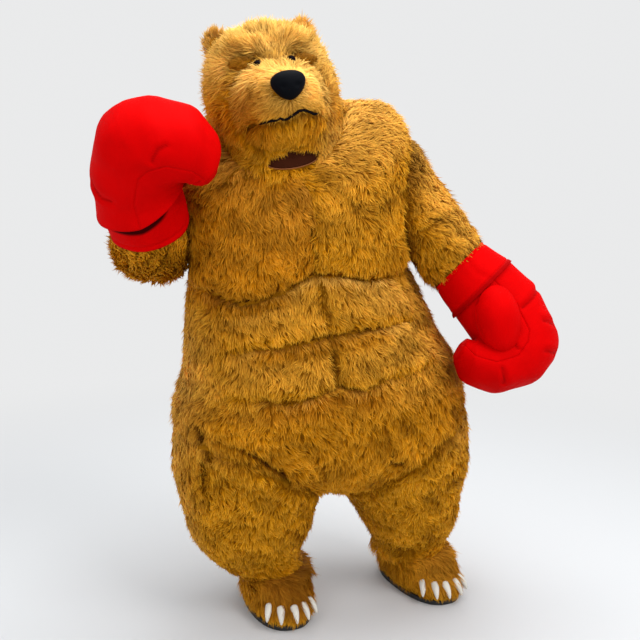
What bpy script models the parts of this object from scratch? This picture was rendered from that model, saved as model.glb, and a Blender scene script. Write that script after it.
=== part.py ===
"""Bear mascot costume: a hollow padded fur suit with a fixed head, stuffed gloves and clawed feet.

The suit faces -Y with +Z up. All sizes are metres. The shapes are worked out on a floor at z = 0, and
one empty then puts the origin on the shoulder yoke, where the wearer carries the suit.
"""

import math

import bmesh
import bpy
from mathutils import Matrix, Vector

SEAM = 0.0003
SHOULDER_POINT = Vector((-0.10, 0.02, 1.50))

FUR_WALL = 0.020
FACE_WALL = 0.015
GLOVE_WALL = 0.010
SOLE_THICK = 0.016

FUR = ("long_pile_fur", (0.55, 0.33, 0.10, 1), 0.85)
SHORT_FUR = ("short_pile_fur", (0.36, 0.17, 0.06, 1), 0.9)
RED = ("red_padded_cloth", (0.72, 0.0, 0.012, 1), 0.55)
BLACK = ("black_gloss", (0.012, 0.012, 0.014, 1), 0.25)
BLACK_CLOTH = ("black_cloth", (0.02, 0.018, 0.018, 1), 0.9)
SLOT_MESH = ("brown_mesh", (0.05, 0.014, 0.006, 1), 0.8)
RUBBER = ("black_rubber", (0.02, 0.02, 0.02, 1), 0.7)
IVORY = ("ivory_resin", (0.86, 0.82, 0.74, 1), 0.4)

# Body rings from the crotch to the neck. side_slope lifts the +X side, front_drop and back_rise bend the
# ring down in front and up behind.
TORSO_COLUMNS = "z cx cy half_width front back side_slope front_drop back_rise".split()
TORSO_RINGS = (
    (0.455, 0.055, 0.020, 0.004, 0.004, 0.004, 0.00, 0.00, 0.00),
    (0.475, 0.050, 0.020, 0.110, 0.130, 0.130, 0.00, 0.00, 0.00),
    (0.530, 0.030, 0.010, 0.240, 0.240, 0.250, 0.00, 0.00, 0.00),
    (0.610, 0.020, 0.000, 0.380, 0.315, 0.335, 0.00, 0.00, 0.00),
    (0.700, 0.013, 0.000, 0.475, 0.360, 0.370, 0.03, 0.00, 0.00),
    (0.800, 0.000, 0.000, 0.515, 0.378, 0.360, 0.08, 0.00, 0.00),
    (0.905, -0.016, 0.000, 0.496, 0.370, 0.310, 0.12, 0.00, 0.00),
    (0.990, -0.033, 0.000, 0.460, 0.350, 0.270, 0.12, 0.00, 0.00),
    (1.080, -0.050, 0.000, 0.435, 0.335, 0.250, 0.12, 0.00, 0.00),
    (1.180, -0.068, 0.000, 0.412, 0.318, 0.250, 0.12, 0.00, 0.00),
    (1.270, -0.080, 0.000, 0.390, 0.308, 0.262, 0.12, 0.00, 0.00),
    (1.360, -0.088, 0.000, 0.380, 0.308, 0.275, 0.12, 0.00, 0.00),
    (1.460, -0.090, 0.000, 0.385, 0.305, 0.285, 0.12, 0.03, 0.00),
    (1.570, -0.095, 0.000, 0.392, 0.300, 0.285, 0.14, 0.09, 0.01),
    (1.685, -0.100, -0.005, 0.388, 0.290, 0.270, 0.16, 0.16, 0.05),
    (1.764, -0.123, -0.015, 0.336, 0.276, 0.235, 0.17, 0.21, 0.08),
    (1.790, -0.162, -0.040, 0.228, 0.250, 0.185, 0.16, 0.21, 0.10),
)
LEVEL_AB_BOTTOM = 6.0
LEVEL_AB_MIDDLE = 8.0
LEVEL_PEC = 10.0
LEVEL_NECK = 16.0
PEC_SAG = 0.055
DEEPEST_CREASE = 0.013
AB_SAG = 0.022

FRONT_HALF = (0.0, 12.0, 24.0, 36.0, 48.0, 59.0, 70.0, 80.0, 90.0)
AB_EDGE = 48.0
BACK_HALF = (90.0, 107.5, 125.0, 142.5, 160.0, 177.6)
PLACKET_EDGE = 177.6
LOW_LEVELS = (0.0, 1.0, 2.0, 2.7, 3.4, 4.1, 4.8, 5.4, 6.0)
AB_LOW_LEVELS = (6.0, 6.4, 6.9, 7.5, 8.0)
AB_HIGH_LEVELS = (8.0, 8.5, 9.0, 9.5, 10.0)
CHEST_LEVELS = (10.0, 10.6, 11.3, 12.1, 13.0, 13.9, 14.7, 15.4, 16.0)
LEVEL_PLACKET = 4.8
PLACKET_STEP = 0.005

# Head rings in the head's own frame: z up from its centre, front towards the face.
HEAD_CENTRE = Vector((-0.200, -0.130, 1.870))
HEAD_ROLL = math.radians(10)
HEAD_COLUMNS = "z cy half_width front back front_drop back_rise".split()
HEAD_RINGS = (
    (-0.055, -0.01, 0.204, 0.160, 0.222, 0.145, 0.105),
    (-0.010, 0.00, 0.204, 0.168, 0.220, 0.090, 0.080),
    (0.032, 0.00, 0.198, 0.165, 0.213, 0.045, 0.050),
    (0.075, 0.00, 0.187, 0.160, 0.200, 0.012, 0.020),
    (0.118, 0.00, 0.165, 0.145, 0.178, 0.000, 0.005),
    (0.156, 0.00, 0.128, 0.115, 0.138, 0.000, 0.000),
    (0.181, 0.00, 0.080, 0.072, 0.085, 0.000, 0.000),
    (0.192, 0.00, 0.003, 0.003, 0.003, 0.000, 0.000),
)
FACE_ANGLES = (0.0, 12.0, 24.0, 36.0, 48.0, 59.0, 70.0)
HEAD_SIDE_ANGLES = (70.0, 80.0, 90.0, 107.5, 125.0, 142.5, 160.0, 177.6, 180.0)

# Limb rings: centre, half width across X and half depth across Y, from the top down.
LEG_COLUMNS = "z cx cy half_width half_depth".split()
LEG_RIGHT_RINGS = (
    (0.840, -0.250, 0.010, 0.175, 0.160),
    (0.775, -0.252, 0.010, 0.246, 0.235),
    (0.690, -0.260, 0.010, 0.270, 0.280),
    (0.590, -0.268, 0.015, 0.270, 0.290),
    (0.500, -0.262, 0.020, 0.262, 0.280),
    (0.414, -0.257, 0.028, 0.248, 0.258),
    (0.330, -0.257, 0.032, 0.230, 0.232),
    (0.255, -0.256, 0.045, 0.202, 0.198),
    (0.195, -0.240, 0.065, 0.175, 0.172),
    (0.150, -0.205, 0.080, 0.160, 0.158),
)
LEG_LEFT_RINGS = (
    (0.840, 0.250, 0.010, 0.175, 0.160),
    (0.775, 0.266, 0.012, 0.248, 0.235),
    (0.690, 0.284, 0.015, 0.270, 0.280),
    (0.590, 0.298, 0.020, 0.272, 0.288),
    (0.500, 0.314, 0.028, 0.254, 0.272),
    (0.414, 0.328, 0.038, 0.226, 0.246),
    (0.330, 0.352, 0.048, 0.200, 0.216),
    (0.255, 0.370, 0.065, 0.172, 0.184),
    (0.195, 0.380, 0.095, 0.150, 0.160),
    (0.150, 0.385, 0.118, 0.146, 0.154),
)
LEG_RINGS = {"right": LEG_RIGHT_RINGS, "left": LEG_LEFT_RINGS}
LEG_STEPS = 9
LEG_SIDES = 16

# Arms: a shoulder point inside the body, the upper arm's control point, the forearm's length of straight
# run behind the wrist, and the wrist.
ARM_RIGHT = (Vector((-0.34, 0.10, 1.610)), Vector((-0.655, 0.100, 1.375)), 0.16,
             Vector((-0.585, -0.124, 1.412)))
ARM_LEFT = (Vector((0.155, 0.000, 1.675)), Vector((0.297, -0.067, 1.518)), 0.12,
            Vector((0.452, -0.176, 1.279)))
ARMS = {"right": ARM_RIGHT, "left": ARM_LEFT}
ARM_RADII = ((0.00, 0.090), (0.10, 0.130), (0.25, 0.138), (0.45, 0.132), (0.70, 0.128), (1.00, 0.116))
ELBOW = 0.6
BORE_END = 0.34
ARM_STEPS = 10
BEND_SHARE = 0.85
BEND_SAMPLES = 48
ARM_SIDES = 16

# A glove in its own frame: d runs along the hand from the cuff's hem, n towards the palm, and the third
# axis across the hand to the thumb's side.
CUFF_LENGTH = 0.118
CUFF_WALL = 0.006
CUFF_TOP_RADIUS = 0.111
CUFF_HEM_RADIUS = {"left": 0.133, "right": 0.124}
CUFF_REACH = {"left": 0.0, "right": 0.016}
CUFF_SIDES = 24
GLOVE_COLUMNS = "inner_d inner_n outer_d outer_n across".split()
GLOVE_RINGS = (
    (-0.010, 0.124, -0.010, -0.124, 0.124),
    (0.045, 0.136, 0.080, -0.128, 0.126),
    (0.085, 0.140, 0.172, -0.116, 0.129),
    (0.099, 0.141, 0.275, -0.070, 0.130),
    (0.106, 0.149, 0.336, 0.012, 0.129),
    (0.106, 0.155, 0.346, 0.105, 0.126),
    (0.104, 0.160, 0.308, 0.196, 0.122),
    (0.099, 0.166, 0.235, 0.262, 0.112),
    (0.090, 0.171, 0.150, 0.278, 0.094),
    (0.078, 0.176, 0.100, 0.250, 0.066),
    (0.074, 0.192, 0.080, 0.218, 0.026),
    (0.076, 0.204, 0.077, 0.208, 0.004),
)
GLOVE_LEVELS = (0.0, 1.0, 2.0, 3.0, 4.0, 5.0, 6.0, 7.0, 8.0, 9.0, 10.0, 11.0)
GLOVE_HEM_SWELL = {"left": 1.0, "right": 1.08}
GLOVE_SIDES = 16
GLOVE_ALONG = {"left": Vector((0.66, -0.33, -0.70)), "right": Vector((-0.240, -0.630, 0.740))}
GLOVE_PALM = {"left": Vector((-0.70, -0.16, -0.66)), "right": Vector((0.938, -0.250, 0.186))}
THUMB_CENTRE = {"left": (0.098, 0.080, 0.108), "right": (0.092, 0.018, 0.108)}
THUMB_HALF = (0.112, 0.070, 0.078)
THUMB_TURN = math.radians(38)

FOOT_COLUMNS = "z front back half_width".split()
FOOT_RINGS = (
    (0.0165, 0.255, 0.160, 0.114),
    (0.045, 0.272, 0.172, 0.126),
    (0.080, 0.262, 0.174, 0.127),
    (0.112, 0.222, 0.168, 0.126),
    (0.136, 0.178, 0.160, 0.134),
    (0.1497, 0.150, 0.150, 0.146),
)
FOOT_LEVELS = (0.0, 0.6, 1.2, 2.0, 3.0, 4.0, 5.0)
SOLE_SIDES = 40
SOLE_WELT = 0.004
ANKLE_RIGHT = Vector((-0.160, 0.080, 0))
ANKLE_LEFT = Vector((0.418, 0.130, 0))
FOOT_TURN_RIGHT = math.radians(4)
FOOT_TURN_LEFT = math.radians(10)
CLAW_ANGLES = (-38.0, -20.0, -3.0, 15.0, 34.0)
CLAW_LENGTH = 0.060
CLAW_RADIUS = 0.0155
CLAW_ROOT = 0.014
CLAW_ROOT_LEVEL = 1.9
CLAW_START = 0.15
CLAW_TIP = 0.0008
CLAW_BEND = 1.15
CLAW_FAN = 0.8
CLAW_SIDES = 8
CLAW_STEPS = 4

NECK_LEVELS = (-1.0, -0.66, -0.33, 0.0)
HEAD_LEVELS = (0.0, 0.6, 1.2, 1.8, 2.4, 2.9, 3.4, 3.9, 4.5, 5.2, 6.0, 7.0)
SLOT_CENTRE = (0.008, -0.17, -0.243)
SLOT_HALF_WIDTH = 0.088
SLOT_HALF_HEIGHT = 0.031
SLOT_DEPTH = 0.2
SLOT_PANEL_DEPTH = 0.010
SLOT_PANEL_WALL = 0.002

MUZZLE_COLUMNS = "y cz half_width half_height".split()
MUZZLE_RINGS = (
    (-0.095, -0.080, 0.134, 0.112),
    (-0.150, -0.083, 0.128, 0.116),
    (-0.215, -0.086, 0.112, 0.102),
    (-0.262, -0.082, 0.090, 0.084),
    (-0.292, -0.074, 0.060, 0.056),
    (-0.304, -0.068, 0.012, 0.012),
)
MUZZLE_LEVELS = (0.0, 0.7, 1.3, 1.9, 2.5, 3.1, 3.7, 4.3, 5.0)
MUZZLE_SIDES = 20
MUZZLE_SHEAR = 0.28
MOUTH_Z = -0.117
MOUTH_WAVE = 0.006
MOUTH_CORNER = 0.004
MOUTH_HALF_WIDTH = 0.095
MOUTH_CUT_WIDTH = 0.2
MOUTH_GAP = 0.007
MOUTH_BACK = 0.19
AHEAD_OF_MOUTH = -0.5
BEHIND_MOUTH = 0.2
MOUTH_SET = -0.004
NOSE_CENTRE = (0.0, -0.305, -0.040)
NOSE_HALF = (0.050, 0.034, 0.042)
NOSE_TAPER = 0.34
PATCH_X = 0.082
PATCH_Y = -0.138
PATCH_Z = 0.052
PATCH_HALF = (0.054, 0.020, 0.022)
PATCH_TILT = math.radians(14)
EYE_X = 0.052
EYE_Y = -0.158
EYE_Z = 0.047
EYE_RADIUS = 0.0145
EAR_X = 0.126
EAR_Y = 0.035
EAR_Z = 0.131
EAR_LEAN = math.radians(30)
EAR_HALF = (0.052, 0.026, 0.066)
EAR_HOLLOW = 0.72
EAR_DISH = 0.018


def row_at(rings, columns, level):
    """The ring at a fractional level, each column a Catmull-Rom curve through the table."""
    last = len(rings) - 1
    i = min(max(int(math.floor(level)), 0), last - 1)
    t = level - i
    p0, p1, p2, p3 = (rings[min(max(i + k, 0), last)] for k in (-1, 0, 1, 2))
    values = []
    for a, b, c, d in zip(p0, p1, p2, p3):
        values.append(0.5 * (2 * b + (c - a) * t + (2 * a - 5 * b + 4 * c - d) * t * t
                             + (3 * b - a - 3 * c + d) * t ** 3))
    return dict(zip(columns, values))


def rounded(value, power):
    return math.copysign(abs(value) ** power, value)


def wrapped(angle):
    return angle if angle <= 180 else angle - 360


def bump(x, centre, width):
    return math.exp(-(((x - centre) / width) ** 2))


def torso_reference(angle, level):
    """The plain body surface. Angle 0 is the centre front and 90 the suit's left side (+X)."""
    sag = 0.0
    if abs(angle) < 90:
        beside = math.sin(math.radians(2 * abs(angle)))
        sag = PEC_SAG * bump(level, LEVEL_PEC, 1.3) * beside
        sag += AB_SAG * bump(level, LEVEL_AB_BOTTOM, 0.8) * max(math.sin(math.radians(abs(angle) * 4)), 0)
    row = row_at(TORSO_RINGS, TORSO_COLUMNS, level)
    s = math.sin(math.radians(angle))
    c = math.cos(math.radians(angle))
    x = row["half_width"] * rounded(s, 0.9)
    y = -rounded(c, 0.9) * (row["front"] if c > 0 else row["back"])
    z = row["z"] + row["side_slope"] * x - sag
    z += -row["front_drop"] * abs(c) ** 1.5 if c > 0 else row["back_rise"] * abs(c) ** 1.5
    return Vector((row["cx"] + x, row["cy"] + y, z))


def torso_relief(angle, level):
    """How far the padding stands out of the plain surface, with the creases where pieces meet."""
    a = abs(angle)
    relief = 0.0
    if a < 90 and level > LEVEL_PEC:
        along = (level - LEVEL_PEC) / 5.0
        swell = 0.034 * math.exp(-along * 1.2) * (1 - math.exp(-along * 9))
        relief += swell * math.sin(math.pi * a / 92) ** 0.7
    if a < AB_EDGE:
        across = math.sin(math.pi * a / AB_EDGE) ** 0.6
        for low, high in ((LEVEL_AB_BOTTOM, LEVEL_AB_MIDDLE), (LEVEL_AB_MIDDLE, LEVEL_PEC)):
            if low < level < high:
                relief += 0.020 * across * math.sin(math.pi * (level - low) / (high - low)) ** 0.7
    fade = 1 / (1 + math.exp((a - 54) / 6))
    relief -= 0.012 * bump(level, LEVEL_PEC, 0.28) * (1 if a < 80 else max(0, (96 - a) / 16))
    relief -= 0.011 * bump(level, LEVEL_AB_MIDDLE, 0.25) * fade
    relief -= 0.011 * bump(level, LEVEL_AB_BOTTOM, 0.25) * fade
    if level > LEVEL_AB_BOTTOM - 0.5:
        relief -= 0.010 * bump(a, 0, 4.0) * min(1, (level - LEVEL_AB_BOTTOM + 0.5) * 2) * (level < 14.5)
    return max(relief, -DEEPEST_CREASE)


def surface_normal(surface, a, b, step_a, step_b):
    along_a = surface(a + step_a, b) - surface(a - step_a, b)
    along_b = surface(a, b + step_b) - surface(a, b - step_b)
    return along_a.cross(along_b).normalized()


def torso_point(angle, level, depth):
    """A point of the padded body, depth below its fur tips."""
    inside = min(max(level, 0.05), LEVEL_NECK - 0.05)
    normal = surface_normal(torso_reference, angle, inside, 1.0, 0.05)
    out = -depth if depth > 0 else torso_relief(angle, level) - depth
    return torso_reference(angle, level) + normal * out


def head_matrix():
    return Matrix.Translation(HEAD_CENTRE) @ Matrix.Rotation(-HEAD_ROLL, 4, "Y")


HEAD_FRAME = head_matrix()


def head_reference(angle, level):
    """Level -1 is the body's neck ring and 0 the head's first own ring."""
    row = row_at(HEAD_RINGS, HEAD_COLUMNS, max(level, 0))
    s = math.sin(math.radians(angle))
    c = math.cos(math.radians(angle))
    x = row["half_width"] * rounded(s, 0.85)
    y = row["cy"] - rounded(c, 0.85) * (row["front"] if c > 0 else row["back"])
    z = row["z"] + (-row["front_drop"] * abs(c) ** 1.5 if c > 0 else row["back_rise"] * abs(c) ** 1.5)
    point = HEAD_FRAME @ Vector((x, y, z))
    if level >= 0:
        return point
    t = -level
    return point.lerp(torso_reference(wrapped(angle), LEVEL_NECK), t)


def head_relief(angle, level):
    """Brow ridges over sunk eye sockets, and full cheeks."""
    a = abs(angle)
    relief = 0.016 * bump(level, 3.85, 0.42) * bump(a, 26, 17)
    relief -= 0.010 * bump(level, 3.0, 0.5) * bump(a, 27, 14)
    relief -= 0.008 * bump(level, 4.0, 0.9) * bump(a, 0, 8)
    return relief + 0.012 * bump(level, 1.0, 1.0) * bump(a, 62, 26)


def head_point(angle, level, depth):
    """A point of the head, depth below its fur tips; down the neck it turns into the body's surface."""
    inside = min(level, len(HEAD_RINGS) - 1.06)
    normal = surface_normal(head_reference, angle, inside, 1.0, 0.05)
    relief = head_relief(angle, level)
    if level < 0:
        turned = wrapped(angle)
        below = surface_normal(torso_reference, turned, LEVEL_NECK - 0.05, 1.0, 0.05)
        normal = normal.lerp(below, -level).normalized()
        relief += (torso_relief(turned, LEVEL_NECK) - relief) * -level
        depth *= 1 + (FUR_WALL / FACE_WALL - 1) * -level
    out = -depth if depth > 0 else relief - depth
    return head_reference(angle, level) + normal * out


def ring_point(centre, across_a, across_b, angle):
    a = math.radians(angle)
    return centre + across_a * math.sin(a) + across_b * -math.cos(a)


def leg_point(rings, angle, level, depth):
    row = row_at(rings, LEG_COLUMNS, level)
    centre = Vector((row["cx"], row["cy"], row["z"]))
    wide = Vector((row["half_width"] - depth, 0, 0))
    deep = Vector((0, row["half_depth"] - depth, 0))
    return ring_point(centre, wide, deep, angle)


def arm_curve(side):
    """The four control points of the arm; the last stretch runs along the glove's own axis."""
    shoulder, upper, forearm, wrist = ARMS[side]
    along = GLOVE_ALONG[side].normalized()
    end = wrist - along * SEAM / 2
    return shoulder, upper, end - along * forearm, end


def arm_centre(curve, t):
    weights = ((1 - t) ** 3, 3 * t * (1 - t) ** 2, 3 * t * t * (1 - t), t ** 3)
    return sum((p * w for p, w in zip(curve, weights)), Vector((0, 0, 0)))


def arm_radius(t):
    """The sleeve's radius, smoothly blended between the table's values."""
    for (t0, r0), (t1, r1) in zip(ARM_RADII, ARM_RADII[1:]):
        if t <= t1:
            s = (t - t0) / (t1 - t0)
            return r0 + (r1 - r0) * s * s * (3 - 2 * s)
    return ARM_RADII[-1][1]


def arm_axes(curve, t):
    """Two directions across the arm at t: outwards from the elbow's bend, and sideways."""
    a, b, c, d = curve
    forward = ((b - a) * (1 - t) ** 2 + (c - b) * (2 * t * (1 - t)) + (d - c) * t * t).normalized()
    elbow = arm_centre(curve, ELBOW)
    side = (elbow - a).cross(d - elbow)
    side = (side - forward * side.dot(forward)).normalized()
    return forward.cross(side).normalized(), side


def room_beside(curve, t, towards):
    """The largest radius in this direction that meets no other stretch of the same arm."""
    here = arm_centre(curve, t)
    room = math.inf
    for k in range(BEND_SAMPLES + 1):
        away = arm_centre(curve, k / BEND_SAMPLES) - here
        if away.length > 1e-4 and away.dot(towards) > 0:
            room = min(room, away.length_squared / (2 * away.dot(towards)))
    return room


def arm_point(curve, angle, t, depth):
    """The sleeve is round, but flatter inside the elbow, where its two stretches press together."""
    out, side = arm_axes(curve, t)
    a = math.radians(angle)
    towards = side * math.sin(a) + out * math.cos(a)
    reach = min(arm_radius(t), BEND_SHARE * room_beside(curve, t, towards))
    return arm_centre(curve, t) + towards * (reach - depth)


def glove_frame(side):
    """The matrix from the glove's own (d, n, across) to the suit, with its origin at the cuff's hem."""
    along = GLOVE_ALONG[side].normalized()
    palm = (GLOVE_PALM[side] - along * GLOVE_PALM[side].dot(along)).normalized()
    thumb = along.cross(palm)
    if thumb.y * (1 if side == "left" else -1) > 0:
        thumb.negate()
    frame = Matrix((along, palm, thumb)).transposed().to_4x4()
    frame.translation = ARMS[side][3] + along * CUFF_LENGTH
    return frame


def glove_ring(side, angle, level):
    """A point of the glove in its own frame, with 0 degrees at the back of the hand."""
    row = row_at(GLOVE_RINGS, GLOVE_COLUMNS, level)
    swell = 1 + (GLOVE_HEM_SWELL[side] - 1) * bump(level, 0, 0.9)
    a = math.radians(angle)
    blend = 0.5 + 0.5 * rounded(math.cos(a), 0.9)
    d = row["inner_d"] + (row["outer_d"] - row["inner_d"]) * blend
    n = row["inner_n"] + (row["outer_n"] - row["inner_n"]) * blend
    return Vector((d, n * swell, row["across"] * swell * rounded(math.sin(a), 0.85)))


def glove_point(side, angle, level, depth):
    inside = min(max(level, 0.05), len(GLOVE_RINGS) - 1.06)
    inwards = surface_normal(lambda a, b: glove_ring(side, a, b), angle, inside, 2.0, 0.05)
    return glove_frame(side) @ (glove_ring(side, angle, level) + inwards * depth)


def foot_frame(side):
    turn = FOOT_TURN_LEFT if side == "left" else FOOT_TURN_RIGHT
    ankle = ANKLE_LEFT if side == "left" else ANKLE_RIGHT
    return Matrix.Translation(ankle) @ Matrix.Rotation(turn, 4, "Z")


def foot_outline(angle, row, depth):
    s = math.sin(math.radians(angle))
    c = math.cos(math.radians(angle))
    x = (row["half_width"] - depth) * rounded(s, 0.85)
    y = -rounded(c, 0.85) * ((row["front"] if c > 0 else row["back"]) - depth)
    return Vector((x, y, row["z"]))


def foot_point(side, angle, level, depth):
    """A point of the foot's fur; its top ring is the leg's lowest one."""
    point = foot_frame(side) @ foot_outline(angle, row_at(FOOT_RINGS, FOOT_COLUMNS, level), depth)
    into_leg = min(max(level - len(FOOT_RINGS) + 2, 0), 1)
    ankle = leg_point(LEG_RINGS[side], angle, len(LEG_RINGS[side]) - 1, depth)
    return point.lerp(ankle, into_leg)


def material(kind):
    name, colour, roughness = kind
    made = bpy.data.materials.get(name)
    if made is None:
        made = bpy.data.materials.new(name)
        made.use_nodes = True
        shader = made.node_tree.nodes["Principled BSDF"]
        shader.inputs["Base Color"].default_value = colour
        shader.inputs["Roughness"].default_value = roughness
        made.diffuse_color = colour
    return made


def clear_scene():
    for obj in list(bpy.data.objects):
        bpy.data.objects.remove(obj, do_unlink=True)
    for old in list(bpy.data.collections):
        bpy.data.collections.remove(old)


def new_object(name, mesh_data, kind=None, helper=False):
    obj = bpy.data.objects.new(name, mesh_data)
    COLLECTIONS["cutters" if helper else "bear_mascot_costume"].objects.link(obj)
    obj.parent = COLLECTIONS["root"]
    if helper:
        obj.hide_render = True
        obj.display_type = "WIRE"
    else:
        mesh_data.materials.append(material(kind))
        mesh_data.shade_smooth()
        mesh_data.set_sharp_from_angle(angle=math.radians(50))
    return obj


def finish_bmesh(bm, name, kind=None, helper=False):
    bmesh.ops.recalc_face_normals(bm, faces=bm.faces)
    if bm.calc_volume(signed=True) < 0:
        bmesh.ops.reverse_faces(bm, faces=bm.faces)
    data = bpy.data.meshes.new(name)
    bm.to_mesh(data)
    bm.free()
    return new_object(name, data, kind, helper)


def split_quads(bm, places):
    """Cuts each four-sided face across the same corners on both sides of a seam, by layer, row and column."""
    for face in list(bm.faces):
        if len(face.verts) == 4:
            corners = sorted(face.verts, key=lambda v: places[v])
            bmesh.utils.face_split(face, corners[0], corners[-1])


def place_key(layer, row, column):
    turned = wrapped(column)
    return (layer, row, round(abs(turned), 6), turned)


def wall(name, kind, columns, rows, point, thickness, gap=SEAM / 2):
    """A cloth wall: a flat grid, doubled by an extrusion, with every corner moved to its place.

    columns and rows are the two coordinates of the surface, and point(column, row, depth) is on it. The
    edges are drawn in by the gap, so that neighbours on the same rows and columns stay apart.
    """
    bm = bmesh.new()
    across = len(columns) - 1
    along = len(rows) - 1
    bmesh.ops.create_grid(bm, x_segments=across, y_segments=along, size=0.5)
    places = {v: (round((v.co.x + 0.5) * across), round((v.co.y + 0.5) * along), 0) for v in bm.verts}
    grid_faces = list(bm.faces)
    for face in grid_faces:
        face.normal_update()
    bmesh.ops.solidify(bm, geom=grid_faces, thickness=1.0)
    for v in bm.verts:
        if v not in places:
            places[v] = (round((v.co.x + 0.5) * across), round((v.co.y + 0.5) * along), 1)
    for v, (i, j, layer) in places.items():
        depth = thickness * layer
        here = point(columns[i], rows[j], depth)
        shift = Vector((0, 0, 0))
        if i in (0, across):
            beside = point(columns[1 if i == 0 else across - 1], rows[j], depth)
            shift += (beside - here).normalized() * gap
        if j in (0, along):
            beside = point(columns[i], rows[1 if j == 0 else along - 1], depth)
            shift += (beside - here).normalized() * gap
        v.co = here + shift
    split_quads(bm, {v: place_key(layer, rows[j], columns[i]) for v, (i, j, layer) in places.items()})
    return finish_bmesh(bm, name, kind)


def closed_tube(name, columns, rows, point, kind=None, helper=True):
    """A filled solid inside one surface: rings joined in order, with a flat cap at each end."""
    bm = bmesh.new()
    rings = [[bm.verts.new(point(a, b)) for a in columns] for b in rows]
    keys = {v: place_key(0, b, a) for ring, b in zip(rings, rows) for v, a in zip(ring, columns)}
    count = len(columns)
    for low, high in zip(rings, rings[1:]):
        for k in range(count):
            following = (k + 1) % count
            bm.faces.new((low[k], low[following], high[following], high[k]))
    split_quads(bm, keys)
    bm.faces.new(list(reversed(rings[0])))
    bm.faces.new(rings[-1])
    return finish_bmesh(bm, name, kind, helper)


def boolean(obj, cutter, operation="DIFFERENCE"):
    cut = obj.modifiers.new(f"{operation.lower()}_{cutter.name}", "BOOLEAN")
    cut.operation = operation
    cut.solver = "EXACT"
    cut.object = cutter


def ellipsoid(name, kind, matrix, half, segments=16, rings=10, helper=False):
    bm = bmesh.new()
    size = Matrix.Diagonal((*half, 1))
    bmesh.ops.create_uvsphere(bm, u_segments=segments, v_segments=rings, radius=1, matrix=matrix @ size)
    return finish_bmesh(bm, name, kind, helper)


def around(half, mirror=False):
    """Both halves of a ring of angles from its one half, in order and with no repeat."""
    left = [-a for a in reversed(half) if a > 0]
    return left + list(half)


def torso_pieces():
    front = around(FRONT_HALF)
    low = [a for a in FRONT_HALF if a <= AB_EDGE]
    outer = [a for a in FRONT_HALF if a >= AB_EDGE]
    wall("belly", FUR, front, LOW_LEVELS, torso_point, FUR_WALL)
    back_levels = sorted(ALL_LEVELS + (LEVEL_PLACKET - PLACKET_STEP,))
    placket_levels = [b for b in ALL_LEVELS if b >= LEVEL_PLACKET]
    for side, name in ((1, "left"), (-1, "right")):

        def back_point(angle, level, depth, side=side):
            closed = abs(angle) == PLACKET_EDGE and level < LEVEL_PLACKET
            return torso_point(side * 180.0 if closed else angle, level, depth)

        wall(f"abs_lower_{name}", FUR, [a * side for a in low], AB_LOW_LEVELS, torso_point, FUR_WALL)
        wall(f"abs_upper_{name}", FUR, [a * side for a in low], AB_HIGH_LEVELS, torso_point, FUR_WALL)
        wall(f"flank_{name}", FUR, [a * side for a in outer], AB_LOW_LEVELS + AB_HIGH_LEVELS[1:],
             torso_point, FUR_WALL)
        wall(f"chest_{name}", FUR, [a * side for a in FRONT_HALF], CHEST_LEVELS, torso_point, FUR_WALL)
        wall(f"back_{name}", FUR, [a * side for a in BACK_HALF], back_levels, back_point, FUR_WALL)
    wall("back_placket", FUR, (PLACKET_EDGE, 180.0, 360 - PLACKET_EDGE), placket_levels,
         torso_point, FUR_WALL)


def body_filled():
    """The whole body as a solid, a seam's gap larger, to trim what is sewn on it."""
    angles = around(FRONT_HALF) + list(BACK_HALF[1:]) + [180.0] + [360 - a for a in reversed(BACK_HALF[1:])]
    return closed_tube("body_filled", angles, ALL_LEVELS, lambda a, b: torso_point(wrapped(a), b, -SEAM))


def head_filled():
    angles = around(FACE_ANGLES) + list(HEAD_SIDE_ANGLES[1:]) + [360 - a for a in HEAD_SIDE_ANGLES[-2:0:-1]]
    rows = NECK_LEVELS + HEAD_LEVELS[1:]
    return closed_tube("head_filled", angles, rows, lambda a, b: head_point(wrapped(a), b, -SEAM))


def ring_angles(sides):
    """The angles of a limb's front half, its back half, and the whole ring."""
    step = 360 / sides
    half = sides // 2
    front = [-90 + step * k for k in range(half + 1)]
    back = [90 + step * k for k in range(half + 1)]
    return front, back, [step * k for k in range(sides)]


def legs(body):
    rows = [(len(LEG_RIGHT_RINGS) - 1) * k / LEG_STEPS for k in range(LEG_STEPS + 1)]
    front, back, ring = ring_angles(LEG_SIDES)
    for side, rings in LEG_RINGS.items():

        def point(angle, level, depth, rings=rings):
            return leg_point(rings, angle, level, depth)

        for half, angles in (("front", front), ("back", back)):
            boolean(wall(f"leg_{side}_{half}", FUR, angles, rows, point, FUR_WALL), body)
        bore = closed_tube(f"leg_bore_{side}", ring, rows[:-3], lambda a, b: point(a, b, FUR_WALL))
        for name in ("belly", f"back_{side}"):
            boolean(bpy.data.objects[name], bore)


def sleeves(body):
    rows = [k / ARM_STEPS for k in range(ARM_STEPS + 1)]
    front, back, ring = ring_angles(ARM_SIDES)
    for side in ARMS:
        curve = arm_curve(side)

        def point(angle, t, depth, curve=curve):
            return arm_point(curve, angle, t, depth)

        for half, angles in (("outer", front), ("inner", back)):
            boolean(wall(f"sleeve_{side}_{half}", FUR, angles, rows, point, FUR_WALL), body)
        bore_rows = [BORE_END * k / 4 for k in range(5)]
        bore = closed_tube(f"arm_bore_{side}", ring, bore_rows, lambda a, b: point(a, b, FUR_WALL))
        for name in (f"chest_{side}", f"back_{side}"):
            boolean(bpy.data.objects[name], bore)


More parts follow.
